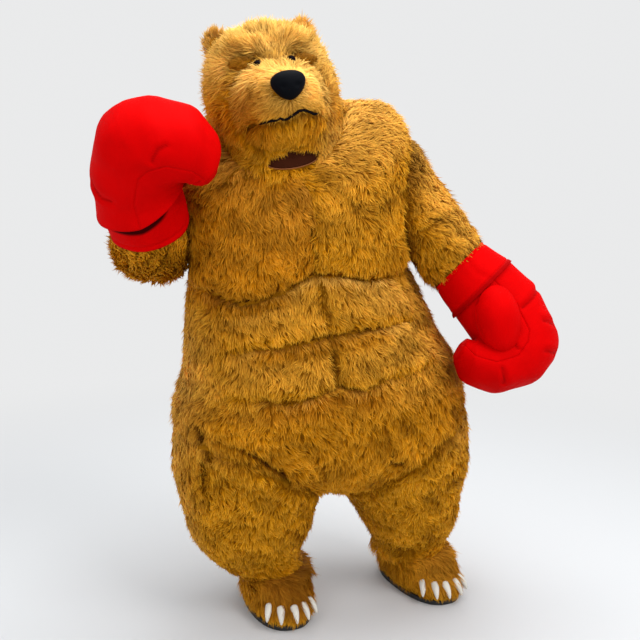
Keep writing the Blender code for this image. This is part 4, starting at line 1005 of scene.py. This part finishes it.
MATERIALS = {
    "long": fur_material("long_pile", FUR_ROOT, FUR_MIDDLE, FUR_TIP, FUR_WARM),
    "short": fur_material("short_pile", (0.24, 0.085, 0.001), (0.44, 0.18, 0.005), (0.60, 0.29, 0.020),
                          (0.24, 0.08, 0.004), through=0.10),
    "backing": plain_material("fur_backing", (0.34, 0.135, 0.003), 0.9, 0.05, grain=0.6),
    "red": plain_material("red_padded", (0.56, 0.000, 0.0003), 0.70, 0.02, grain=0.25, grain_scale=1400,
                          spread=0.06),
    "black": plain_material("black_shine", (0.005, 0.002, 0.003), 0.25, 0.02),
    "nose": plain_material("nose_leather", (0.0015, 0.002, 0.0035), 0.65, 0.05, grain=0.5, grain_scale=420),
    "line": plain_material("black_braid", (0.006, 0.004, 0.004), 0.9, 0.02, grain=0.8),
    "mesh": plain_material("slot_mesh", (0.040, 0.009, 0.003), 0.85, 0.05, grain=1.0, grain_scale=700),
    "piping": plain_material("slot_piping", (0.26, 0.085, 0.022), 0.7, 0.2, grain=0.8),
    "rubber": plain_material("sole_rubber", (0.018, 0.018, 0.019), 0.65, 0.3, grain=0.6, grain_scale=500),
    "ivory": plain_material("claw_resin", (0.62, 0.60, 0.54), 0.40, 0.3, spread=0.10),
}

# ---------------------------------------------------------------- the suit

BODY = capped_tree(torso, ROUND, (0, NECK), 6, 0.25)
SKULL = capped_tree(head, ROUND, HEAD_LEVELS, 6, 0.2)
CUFF_TREES = {side: capped_tree(lambda a, b, side=side: cuff_surface(side, a, b), ROUND, (0, 1), 15, 0.1)
              for side in ARMS}
LEG_TREES = {side: capped_tree(leg(side), ROUND, LEG_LEVELS, 8, 0.3) for side in LEGS}
ARM_TREES = {side: capped_tree(arm(side), ROUND, (0, 1), 10, 0.04) for side in ARMS}
NOSE_POINT = on_head(np.array((0.0, -0.335, -0.045)))
DOWN = np.array((0.0, 0.0, -1.0))


def ellipsoid_at(centre, half, turn=np.eye(3)):
    """A surface of longitude and latitude, in degrees, in the head's own axes."""
    def surface(lon, lat, depth=0.0):
        return on_head(direction(lon, lat) * (np.array(half) - depth) @ turn.T + np.array(centre))
    return surface


def sphere_tree(surface):
    return capped_tree(surface, *GLOBE, 15, 12)


def torso_patch(a_range, b_range):
    made = Patch(torso, a_range, b_range, *TORSO_STEPS, BODY_PILE)
    # painted shade along the line down the middle
    made.tone *= 1 - 0.35 * bump(made.a, 0, 1.6) * middle_crease(made.b)
    angle = turned(made.a)
    # painted shade under each line between the pads: darker, browner, and without the painted top light
    for line, low, high, amount in UNDER_LINES:
        under = amount * on_run(angle, low, high) * bump(pad_level(angle, made.b), line - 0.28, 0.26)
        made.tone *= 1 - 0.20 * under
        made.warm += 0.26 * under
        made.pale *= 1 - under
    made.pale += EDGE_PALE * falling(angle, -AB_EDGE, 35) * falling(made.b, PEC - 0.3, 1.5)
    made.lines = FRONT_LINES
    return made


patches = {"belly": torso_patch(FRONT, (0, AB_BOTTOM))}
for side, sign in SIGN.items():
    for name, low, high, levels in (("abs_lower", 0, AB_EDGE, (AB_BOTTOM, AB_MIDDLE)),
                                    ("abs_upper", 0, AB_EDGE, (AB_MIDDLE, PEC)),
                                    ("flank", AB_EDGE, 90, (AB_BOTTOM, PEC)),
                                    ("chest", 0, 90, (PEC, NECK)),
                                    ("back", 90, 180, (0, NECK))):
        patches[f"{name}_{side}"] = torso_patch((low, high) if sign > 0 else (-high, -low), levels)
    back = patches[f"back_{side}"]
    beside_placket = np.minimum(back.keep, PLACKET_EDGE - np.abs(back.a))
    back.keep = np.where(back.b < PLACKET_LEVEL, back.keep, beside_placket)
patches["back_placket"] = torso_patch((PLACKET_EDGE, 360 - PLACKET_EDGE), (PLACKET_LEVEL, NECK))
for name, patch in patches.items():
    if name in ("chest_left", "back_left"):
        patch.puff(SHOULDER_PUFF * bump(patch.b, 15.3, 0.9) * bump(patch.a, 80, 40))
    patch.warm += WARM_PIECES.get(name, 0)
    if name.startswith(("belly", "back")):
        for tree in LEG_TREES.values():
            patch.away_from(tree, margin=0.012, soft=0.03, shorten=1.0, darken=0.0)
            patch.ease_into(tree, *HIP_VALLEY)
    if name.startswith(("chest", "back_l", "back_r", "flank")):
        for tree in ARM_TREES.values():
            patch.away_from(tree, margin=0.010, soft=0.03, shorten=0.9, darken=0.22)
            patch.ease_into(tree, *ARM_VALLEY)

for side in LEGS:
    for half, angles in (("front", FRONT), ("back", BACK)):
        patch = patches[f"leg_{side}_{half}"] = Patch(leg(side), angles, LEG_LEVELS, *LEG_STEPS, BODY_PILE)
        patch.comb = patch.along
        patch.length *= 1 + 0.55 * np.clip(patch.b - len(LEGS[side]) + 2.2, 0, 1)
        patch.away_from(BODY, margin=0.006, soft=0.03, shorten=1.0, darken=0.0).ease_into(BODY, *HIP_VALLEY)
        patch.lines = FRONT_LINES
        if side == "right":
            patch.pale += EDGE_PALE * falling(turned(patch.a), -AB_EDGE, 35) * (half == "front")
            narrow = bump(patch.points[..., 2], SHIN_HEIGHT, 0.09) * np.clip(-patch.normal[..., 0], 0, 1)
            patch.puff(-SHIN_TAPER * narrow)
            patch.length *= 1 - 0.40 * narrow
    for half, angles in (("outer", FRONT), ("inner", BACK)):
        patch = patches[f"sleeve_{side}_{half}"] = Patch(arm(side), angles, (0, 1), *ARM_STEPS, BODY_PILE)
        patch.comb = patch.along
        patch.length *= 1 + 0.35 * bump(patch.b, 0.15, 0.22)
        if side == "left":
            patch.puff(CAP_PUFF * bump(patch.b, 0.15, 0.07))
        else:
            patch.puff(ELBOW_PUFF * bump(patch.b, 0.68, 0.22) * np.abs(patch.normal[..., 0]))
        patch.away_from(BODY, margin=0.006, soft=0.06, darken=0.50).ease_into(BODY, *ARM_VALLEY)
        # the painted shade where the sleeve meets the body is browner too
        patch.warm += 0.5 * (1 - patch.tone)
        patch.away_from(CUFF_TREES[side], margin=0.0, soft=0.045, shorten=0.3, darken=0.35)
        patch.lines = FRONT_LINES
    for half, angles in (("vamp", FRONT), ("heel", BACK)):
        patch = Patch(foot(side), angles, (0, len(FOOT) - 1), *FOOT_STEPS, FOOT_PILE)
        patch.length *= np.clip(0.25 + patch.b / 1.6, 0, 1) * (1 + 0.4 * bump(patch.b, 2.4, 0.6))
        top = FOOT_BROWN[side] * bump(turned(patch.a), 10, 60) * rising(patch.b, 1.4, 1.2)
        toe = bump(patch.b, 0, 0.8)
        patch.warm += 0.08 + 0.42 * top - 0.20 * toe
        patch.pale *= 0.2
        patch.tone *= 0.93 - 0.44 * top + 0.18 * toe
        patches[f"foot_{half}_{side}"] = patch


def comb_head(patch):
    """Away from the nose over the face, then down the back of the head and the neck."""
    local = from_head(patch.points)
    x, y, z = np.moveaxis(local, -1, 0)
    radial = unit(patch.points - NOSE_POINT)
    radial[..., 2] -= 0.15
    down = np.maximum(falling(z, -0.06, 0.14), rising(y, 0.02, 0.12))[..., None]
    patch.comb_to(radial * (1 - down) + DOWN * down)
    far = np.linalg.norm(patch.points - NOSE_POINT, axis=-1)
    patch.length *= np.clip((far - 0.06) / 0.16, 0.45, 1)
    front = falling(y, 0, 0.06)
    streak = bump(np.abs(x), 0.014 + 0.42 * np.clip(z - 0.055, 0, 1), 0.007)
    streak = streak * rising(z, 0.045, 0.02) * falling(z, 0.135, 0.03) * (y < 0)
    # painted shadow under each brow: darker, warmer fur along the brow's line
    brow_shadow = near_line(np.abs(x), z, BROW_SHADOW, 0.0065) * front
    blush = bump(np.abs(x), 0.165, 0.05) * bump(z, -0.105, 0.05) * front
    for mark, darker, warmer in ((streak, 0.35, 0.35), (brow_shadow, 0.50, 0.3), (blush, 0, 0.55)):
        patch.tone *= 1 - darker * mark
        patch.warm += warmer * mark
    # painted light: the upper head, and the face's side at x > 0 towards the key lamp, are paler
    patch.pale = patch.pale + 0.50 * rising(z, -0.02, 0.08) + 0.40 * rising(x, 0.06, 0.08) * front
    patch.pale = np.clip(patch.pale, 0, MOST_PALE) * (1 - blush)
    return patch


EARS, EYES, PATCH_TREES = {}, {}, {}
for side, sign in SIGN.items():
    lean = np.array(Matrix.Rotation(sign * EAR_LEAN, 3, "Y"))
    centre = (sign * EAR_CENTRE[0], *EAR_CENTRE[1:])

    def ear(lon, lat, depth=0.0, lean=lean, centre=centre):
        u = direction(lon, lat)
        dish = np.clip(1 - (u[..., 0] ** 2 + u[..., 2] ** 2) / 0.62, 0, 1) ** 0.7 * (u[..., 1] < 0)
        p = u * (np.array(EAR_HALF) - depth)
        p[..., 1] += EAR_DISH * dish
        return on_head(p @ lean.T + np.array(centre))

    EARS[side] = ear
    patch = Patch(ear, ROUND, (-88, 88), 9, 9, EAR_PILE)
    patch.comb_to(unit(patch.points - on_head(np.array(centre))) + 0.5 * np.array((sign * 0.3, 0.2, 0.9)))
    a, b = np.radians(patch.a), np.radians(patch.b)
    middle = np.clip(1 - (np.sin(a) ** 2) * np.cos(b) ** 2 / 0.55 - np.sin(b) ** 2 / 0.55, 0, 1)
    dark = (np.abs(patch.a) < 90) * middle
    patch.tone *= 1.12 - 0.30 * dark
    patch.warm += 0.5 * dark - 0.20
    patch.pale = patch.pale * 0.5 + 0.70 * (1 - dark)
    patches[f"ear_{side}"] = patch.away_from(SKULL, margin=0.004)

for side, sign in SIGN.items():
    tilt = np.array(Matrix.Rotation(sign * -PATCH_TILT[side], 3, "Y"))
    surface = ellipsoid_at((sign * PATCH_CENTRE[side][0], *PATCH_CENTRE[side][1:]), PATCH_HALF, tilt)
    PATCH_TREES[side] = sphere_tree(surface)
    eye_centre = (sign * EYE_CENTRE[0], *EYE_CENTRE[1:])
    eye = EYES[side] = ellipsoid_at(eye_centre, (EYE_RADIUS,) * 3)
    patch = Patch(surface, ROUND, (-85, 85), 9, 9, PATCH_PILE)
    patch.comb_to(unit(patch.points - on_head(np.array(eye_centre))) + np.array((0, 0, 0.2)))
    patch.pale *= 0.15
    patch.warm += 0.7
    patch.tone *= 0.84
    patch.away_from(SKULL, margin=0.003, soft=0.012, shorten=1.0, darken=0.60)
    patches[f"eye_patch_{side}"] = patch.away_from(sphere_tree(eye), margin=-0.003, soft=0.02, shorten=0.2)

MUZZLE_TREE = capped_tree(muzzle_at, *MUZZLE_SPAN, 10, 0.25)
NOSE_TREE = sphere_tree(ellipsoid_at(NOSE_CENTRE, NOSE_HALF))


def slot_outline(angle, share=1.0):
    """The x and z, in the head's axes, of the slot's edge or of an outline inside or outside it."""
    return (SLOT_CENTRE[0] + share * SLOT_HALF[0] * np.cos(angle),
            SLOT_CENTRE[2] + share * SLOT_HALF[1] * np.sin(angle))


def line_on_head(x, z):
    return on_head(stack(x, 0, z))[:, (0, 2)]


# lines along which the fur parts and gets painted shade: under the slot's upper edge and along the mouth
SLOT_EDGE = (line_on_head(*slot_outline(np.radians(np.linspace(172, 8, 12)))), 0.004, 0.60)
MOUTH_EDGE = (line_on_head(*MOUTH_RUN), 0.004, 0.7)
for name, angles, levels, steps in (("face", FACE, (0, 7), (2.8, 0.09)),
                                    ("neck_front", FACE, (-1, 0), (2.8, 0.05)),
                                    ("head_left", (FACE_EDGE, 180), HEAD_LEVELS, (4.0, 0.10)),
                                    ("head_right", (-180, -FACE_EDGE), HEAD_LEVELS, (4.0, 0.10))):
    patch = patches[name] = comb_head(Patch(head, angles, levels, *steps, HEAD_PILE))
    for side in SIGN:
        if name == "face":
            patch.away_from(PATCH_TREES[side], margin=0.003, soft=0.014, shorten=0.8, darken=0.60)
            patch.away_from(sphere_tree(EYES[side]), margin=-0.002, soft=0.025, shorten=0.3, darken=0.3)
        if name in ("face", f"head_{side}"):
            patch.away_from(sphere_tree(EARS[side]), margin=0.004, soft=0.02)
    if name in ("face", "neck_front"):
        patch.away_from(MUZZLE_TREE, margin=0.006, soft=0.03, shorten=0.9, darken=0.0)
        patch.ease_into(MUZZLE_TREE, *MUZZLE_VALLEY)
        patch.lines = [SLOT_EDGE]
neck = patches["neck_front"]
x, _, z = np.moveaxis(from_head(neck.tips), -1, 0)
slot_far = np.hypot((x - SLOT_CENTRE[0]) / SLOT_HALF[0], (z - SLOT_CENTRE[2]) / SLOT_HALF[1]) - 1
neck.keep = np.minimum(neck.keep, slot_far * SLOT_HALF[1])
neck.length *= np.clip(0.55 + slot_far, 0, 1)

for name, angles, sign, hang in (("muzzle", (-90, 270), 1, 0.25), ("jaw", (90, 450), -1, 1.6)):
    patch = patches[name] = Patch(muzzle_at, angles, (0, 4.98), 6, 0.12, MUZZLE_PILE)
    x, _, z = np.moveaxis(from_head(patch.tips), -1, 0)
    above = sign * (z - mouth_height(x)) - MOUTH_GAP / 2
    patch.keep = np.minimum(patch.keep, above)
    sideways = falling(z, -0.055, 0.03) * np.tanh(x / 0.012) * (name == "muzzle")
    patch.comb_to(unit(patch.points - NOSE_POINT) + hang * DOWN + 1.6 * sideways[..., None] * HEAD_AXES[0])
    bridge = rising(z, -0.02, 0.05)
    # painted shade: the muzzle's lower side at x < 0 is darker, browner and less pale, and the fur right along
    # the mouth's gap is darker
    shaded = falling(x, -0.015, 0.085) * falling(z, 0.02, 0.05)
    patch.tone *= 1.20 - 0.24 * bridge - 0.34 * shaded - 0.45 * bump(above, 0, 0.006)
    patch.warm += 0.14 * falling(z, -0.05, 0.08) * np.clip(np.abs(x) / 0.10, 0.2, 1)
    patch.warm += 0.20 * shaded
    patch.pale = np.clip(patch.pale + 0.55 * rising(z, -0.14, 0.08), 0, MOST_PALE) * (1 - 0.75 * shaded)
    patch.length *= np.clip(0.55 + above / 0.05, 0, 1) * (1 + 0.8 * np.clip(2.2 - patch.b, 0, 1))
    patch.away_from(SKULL, margin=0.006, soft=0.02, shorten=1, darken=0.0).ease_into(SKULL, *MUZZLE_VALLEY)
    patch.lines = [MOUTH_EDGE, SLOT_EDGE]
    if name == "muzzle":
        patch.away_from(NOSE_TREE, margin=0.003, soft=0.012, darken=0.2)

# each piece's pile, by the first of these that its name starts with
STYLE = {
    "ear": dict(density=75000, length=0.036, width=0.0032),
    "eye_patch": dict(density=150000, length=0.015, width=0.0022, slot_name="short_pile_fur", fur="short",
                      tuft=0.008),
    "muzzle": dict(density=110000, length=0.040, width=0.0030, tuft=0.016, swirl=0.30, rise=1.2, stride=1),
    "jaw": dict(density=90000, length=0.044, width=0.0030, tuft=0.016, swirl=0.3, rise=1.5, stride=1),
    "face": dict(density=85000, length=0.046, width=0.0034, tuft=0.020, swirl=0.45, rise=1.5, stride=1),
    "head": dict(density=60000, length=0.050, width=0.0036, tuft=0.024, swirl=0.55, rise=1.7),
    "neck": dict(density=70000, length=0.042, width=0.0036, rise=1.4),
    "foot": dict(density=70000, length=0.034, width=0.0034, tuft=0.016, rise=1.2),
    "back_": dict(density=35000, width=0.0042),
    "sleeve_right": dict(rise=1.35),
    "sleeve_left": dict(rise=1.3),
}
for number, (name, patch) in enumerate(sorted(patches.items())):
    style = next((v for k, v in STYLE.items() if name.startswith(k)), {})
    dress(name, patch, seed=FIRST_SEED + number, **style)

# ---------------------------------------------------------------- gloves, claws and the face's small parts


def shell(name, outer, inner, wrap=False):
    """A closed wall of red cloth between two grids of one size; with wrap, their two side columns are one."""
    if wrap:
        outer, inner = outer[:, :-1], inner[:, :-1]
    i = indices(*outer.shape[:2], closed=wrap)
    j = i + outer[..., 0].size

    def edge(low, high):
        return np.stack((low[:-1], low[1:], high[1:], high[:-1]), axis=-1)

    faces = [cells(i), cells(j)[:, ::-1], edge(j[0], i[0]), edge(i[-1], j[-1])]
    if not wrap:
        faces += [edge(i[:, 0], j[:, 0]), edge(j[:, -1], i[:, -1])]
    faces = np.concatenate(faces)
    points = np.concatenate((outer.reshape(-1, 3), inner.reshape(-1, 3)))
    spread = np.cross(outer[:-1, 1:] - outer[:-1, :-1], outer[1:, :-1] - outer[:-1, :-1])
    if ((outer - inner)[:-1, :-1] * spread).sum() < 0:
        faces = faces[:, ::-1]
    return new_piece(name, mesh_of(name, points, faces), MATERIALS["red"], "red_padded_cloth")


def fold_shade(obj, dark):
    """Darkens the red cloth in its folds; the wall's inner side is dark all over."""
    attribute(obj.data, "dark", np.concatenate((dark.ravel(), np.full(dark.size, INNER_DARK))))


def glove_surface(side):
    def surface(angle, level, depth=0.0):
        inside = np.clip(level, 0.05, len(GLOVE) - 1.06)
        inwards = numeric_normal(lambda a, b: glove_ring(side, a, b), angle, inside, 2.0)
        return on_glove(side, glove_ring(side, angle, level) + inwards * np.asarray(depth)[..., None])
    return surface


def on_crease(line, angle, level, width):
    """near_line on the glove, its line's angles and levels brought to one scale."""
    scaled = [(a / DEGREES_A_LEVEL, b) for a, b in line]
    return near_line(angle / DEGREES_A_LEVEL, level, scaled, width)


def glove_relief(side, angle, level):
    """The padding between the seams: drawn in at each seam and fold, and softly uneven elsewhere."""
    place = on_glove(side, glove_ring(side, angle, level))
    folded = turned(angle)
    edge = np.abs(np.abs(folded) - 90) / 90 * 0.20
    out = 0.003 - SIDE_SEAM[side] * np.exp(-edge / 0.006)
    out = out + 0.0030 * waves(place, 24, 41) + 0.0012 * waves(place, 60, 42)
    panels = sum(bump(level, corner, PANEL_WIDTH) for corner in GLOVE_CORNERS[1:-2])
    out = out - PANEL_DEPTH * panels * falling(np.abs(folded), 78, 30)
    for line in GLOVE_CREASES[side]:
        out = out - CREASE_DEPTH * on_crease(line, folded, level, CREASE_WIDTH)
        out = out + 0.5 * CREASE_DEPTH * on_crease(line, folded, level + 0.26, 1.6 * CREASE_WIDTH)
    return out


def glove_half(node, side, angles):
    """One half of the hand, from its hem, which stands off the cuff a little, to the fingertips."""
    a, t = grid(angles, (0, 1), 2.8, 0.0074)
    start = np.interp(np.abs(turned(a)), HEM_ANGLES, HEM_RISE[side])
    b = start + (len(GLOVE) - 1 - start) * t
    surface = glove_surface(side)
    lift = HEM_LIFT[side] * np.exp(-(b - start) / 0.30)
    outer = surface(a, b, -glove_relief(side, a, b) - lift)
    obj = shell(f"pad_{node}", outer, surface(a, b, 0.010 - 0.8 * lift))
    folds = sum(on_crease(line, turned(a), b, FOLD_WIDTH) for line in GLOVE_CREASES[side])
    fold_shade(obj, np.clip(FOLD_DARK * folds, 0, 1))
    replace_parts(obj, node)


def trim(obj, points, faces):
    """Takes another closed form out of the object."""
    cutter = add_to_scene("cutter", mesh_of("cutter", points, faces))
    cut = obj.modifiers.new("trim", "BOOLEAN")
    cut.operation, cut.solver, cut.object = "DIFFERENCE", "EXACT", cutter
    bpy.context.view_layer.update()
    made = bpy.data.meshes.new_from_object(obj.evaluated_get(bpy.context.evaluated_depsgraph_get()))
    obj.modifiers.clear()
    old, obj.data = obj.data, made
    bpy.data.meshes.remove(old)
    bpy.data.objects.remove(cutter, do_unlink=True)
    made.shade_smooth()


def solid_piece(node, surface, a_range, b_range, step_a, step_b, material, slot_name):
    """A finer form that stands for one solid."""
    points, faces = tube_mesh(surface, a_range, b_range, step_a, step_b)
    obj = new_piece(f"{node}_form", mesh_of(node, points, faces), MATERIALS[material], slot_name)
    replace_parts(obj, node)
    return obj


for side in SIGN:
    for half, angles in (("back", FRONT), ("palm", BACK)):
        glove_half(f"glove_{half}_{side}", side, angles)

    def thumb(lon, lat, side=side):
        u = direction(lon, lat)
        seam = np.minimum(np.abs(u[..., 2]) * THUMB_HALF[2], 0.05)
        puckers = 0.012 * np.sin(np.radians(lon) * 13) * np.exp(-seam / 0.02)
        swell = 1 + 0.03 - 0.07 * np.exp(-seam / 0.007) + puckers
        p = turn_z(u * np.array(THUMB_HALF) * swell[..., None], THUMB_TURN) + np.array(THUMB_CENTRE[side])
        out = unit(p - np.array(THUMB_CENTRE[side]))
        return on_glove(side, p + out * (0.0022 * waves(p, 40, 51))[..., None])

    obj = solid_piece(f"glove_thumb_{side}", thumb, *GLOBE, 4, 4, "red", "red_padded_cloth")
    solid = glove_surface(side)
    trim(obj, *tube_mesh(lambda a, b: solid(a, b, -0.001 + 0 * a), ROUND, (0, 11), 5, 0.2))

    def cuff(angle, t, depth=0.0, side=side):
        seam = CUFF_SEAM * bump(t, 0.10, 0.03)
        if side == "left":
            depth = depth + CUFF_SEAM * near_line(turned(angle) / 90, t, CUFF_FOLD, 0.05)
            seam = seam + CUFF_SEAM * bump(t, 0.86, 0.025)
        flap = CUFF_FLARE[side] * bump(t, 1.0, 0.16) * (0.6 + 0.4 * np.cos(np.radians(angle + 20)))
        return cuff_surface(side, angle, t, depth + seam - flap, CUFF_UNDER[side])

    a, b = grid(ROUND, (0, 1), 4, 0.02)
    obj = shell(f"pad_cuff_{side}", cuff(a, b), cuff(a, b, CUFF_WALL), wrap=True)
    round_hem = np.linspace(-180, 180, 73)
    hem = glove_ring(side, round_hem, np.interp(np.abs(round_hem), HEM_ANGLES, HEM_RISE[side]))
    hem_angle = np.degrees(np.arctan2(hem[:, 2], hem[:, 1]))
    order = np.argsort(hem_angle)
    start = CUFF_LENGTH - CUFF_SHORT[side]
    below = np.interp(turned(a), hem_angle[order], hem[order, 0], period=360) + start - b * (
        start + CUFF_REACH[side] + CUFF_UNDER[side])
    seen = 0.2 + 0.8 * np.clip(-np.sin(np.radians(a)), 0, 1)
    shade = HEM_SHADE[side] * np.clip(1 - (below - HEM_BAND[side] * seen) / 0.010, 0, 1)
    fold_shade(obj, shade[:, :-1])
    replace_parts(obj, f"glove_cuff_{side}")

UPRIGHT = np.array((0.0, 0.0, 1.0))
for side in ANKLES:
    for number, angle in enumerate(SIGN[side] * np.array(CLAW_ANGLES), 1):
        root = foot_outline(angle, np.array(CLAW_LEVEL), CLAW_ROOT)
        fan = math.radians(angle * 0.8)
        heading = np.array((math.sin(fan), -math.cos(fan), 0.0))
        beside = np.array((math.cos(fan), math.sin(fan), 0.0))

        def claw(around, t, side=side, root=root, heading=heading, beside=beside):
            a = np.radians(around)[..., None]
            turn = (CLAW_START + t * CLAW_BEND)[..., None]
            centre = root + CLAW_LENGTH / CLAW_BEND * (heading * (np.sin(turn) - math.sin(CLAW_START))
                                                       + UPRIGHT * (np.cos(turn) - math.cos(CLAW_START)))
            across = beside * np.cos(a) + (heading * np.sin(turn) + UPRIGHT * np.cos(turn)) * np.sin(a)
            radius = (CLAW_RADIUS * (1 - t) ** 0.6 + CLAW_TIP)[..., None]
            return on_foot(side, centre + across * radius)

        solid_piece(f"claw_{side}_{number}", claw, (0, 360), (0, 1), 22.5, 0.0625, "ivory", "ivory_resin")
    sole_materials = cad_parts[f"sole_{side}"].data.materials
    sole_materials.clear()
    sole_materials.append(MATERIALS["rubber"])

for side, eye in EYES.items():
    solid_piece(f"eye_{side}", eye, *GLOBE, 12, 12, "black", "black_gloss")


def nose(lon, lat):
    x, y, z = np.moveaxis(direction(lon, lat), -1, 0)
    nostril = 0.10 * bump(np.abs(x), 0.42, 0.16) * bump(z, -0.12, 0.16) * (y < 0)
    p = stack(NOSE_HALF[0] * rounded(x, 0.97) * (1 + NOSE_TAPER * z), NOSE_HALF[1] * (y + nostril * 1.6),
              NOSE_HALF[2] * z)
    return on_head(p + np.array(NOSE_CENTRE))


obj = solid_piece("nose", nose, *GLOBE, 6, 5, "nose", "black_gloss")
trim(obj, *tube_mesh(muzzle_at, *MUZZLE_SPAN, 10, 0.25))

SLOT_SKIN = grid_tree(head(*grid(FACE, (-1, 0.5), 2.8, 0.05), depth=0.010))
MOUTH_SKIN = grid_tree(muzzle_at(*grid(*MUZZLE_SPAN, 5, 0.1)))
BACKWARD = HEAD_AXES[1]


def on_skin(tree, x, z):
    """Where a line from the front, at x and z of the head's axes, meets a surface."""
    places = []
    for px, pz in zip(x.ravel(), z.ravel()):
        start = Vector(on_head(np.array((px, -0.7, pz))))
        found = tree.ray_cast(start, Vector(BACKWARD))[0]
        places.append(found if found is not None else start + Vector(BACKWARD) * 0.5)
    return np.array(places).reshape(*x.shape, 3)


def line_piece(name, points, radius, material, slot_name):
    """A round tube along a line of points, closed at both ends."""
    forward = unit(np.gradient(points, axis=0))
    side = unit(np.cross(forward, UPRIGHT))
    up = np.cross(side, forward)
    a = np.linspace(0, 2 * math.pi, TUBE_SIDES + 1)[None, :, None]
    width = np.broadcast_to(radius, (len(points),))[:, None, None]
    rings = points[:, None] + width * (side[:, None] * np.cos(a) + up[:, None] * np.sin(a))
    made, faces = tube_mesh(lambda a, b: rings, (0, rings.shape[1] - 1), (0, rings.shape[0] - 1), 1, 1)
    return new_piece(name, mesh_of(name, made, faces), MATERIALS[material], slot_name)


share, around = np.meshgrid(np.linspace(0.001, 1.02, 9), np.radians(np.linspace(0, 360, 61)))
panel = on_skin(SLOT_SKIN, *slot_outline(around, share)).reshape(-1, 3)
obj = new_piece("slot_panel", mesh_of("slot_panel", panel, cells(indices(*share.shape))), MATERIALS["mesh"],
                "brown_mesh")
thicken(obj, 0.0015)
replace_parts(obj, "vision_panel")

rim = on_skin(SLOT_SKIN, *slot_outline(np.radians(np.linspace(172, 368, 50)), 1.01))
line_piece("slot_piping", rim - BACKWARD * 0.002, 0.0016, "piping", "brown_mesh")

x = np.linspace(-MOUTH_HALF, MOUTH_HALF, 61)
line = on_skin(MOUTH_SKIN, x, mouth_height(x)) + BACKWARD * 0.002
thickness = MOUTH_LINE * np.clip((1.02 * MOUTH_HALF - np.abs(x)) / 0.02, 0.15, 1)
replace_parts(line_piece("mouth_line", line, thickness, "line", "black_cloth"), "mouth")

# ---------------------------------------------------------------- room, light and camera

floor = add_to_scene("floor", bpy.data.meshes.new("floor"))
corners = [(x * FLOOR_REACH, y * FLOOR_REACH, FLOOR_Z) for x, y in ((-1, -1), (1, -1), (1, 1), (-1, 1))]
floor.data.from_pydata(corners, [], [(0, 1, 2, 3)])
pale = Shading("pale_floor")
pale.feed(pale.shader, {"Base Color": (0.60, 0.615, 0.63), "Roughness": 0.9})
glow = pale.node("Emission", {"Color": ROOM_COLOUR, "Strength": ROOM_LIGHT})
reach = pale.node("VectorMath", {0: pale.place()})
reach.operation = "LENGTH"
fade = pale.node("MapRange", {"Value": reach.outputs["Value"], "From Min": FLOOR_FADE[0],
                              "From Max": FLOOR_FADE[1]})
fade.interpolation_type = "SMOOTHSTEP"
pale.blend_shaders(fade.outputs[0], pale.shader, glow)
floor.data.materials.append(pale.material)

for name, place, size, power in LIGHTS:
    data = bpy.data.lights.new(name, "AREA")
    data.size, data.energy = size, power
    lamp = add_to_scene(name, data)
    lamp.location = place
    lamp.rotation_euler = (Vector(LIT_PLACE) - Vector(place)).to_track_quat("-Z", "Y").to_euler()

world = bpy.data.worlds.new("room")
world.use_nodes = True
world.node_tree.nodes["Background"].inputs["Color"].default_value = (*ROOM_COLOUR, 1)
world.node_tree.nodes["Background"].inputs["Strength"].default_value = ROOM_LIGHT
bpy.context.scene.world = world
bpy.context.scene.view_settings.view_transform = "Standard"

camera_data = bpy.data.cameras.new("camera")
camera_data.lens, camera_data.sensor_width = CAMERA_LENS, CAMERA_SENSOR
camera = add_to_scene("camera", camera_data)
camera.location = CAMERA_PLACE
camera.rotation_euler = Vector(CAMERA_WAY).to_track_quat("-Z", "Y").to_euler()
bpy.context.scene.camera = camera
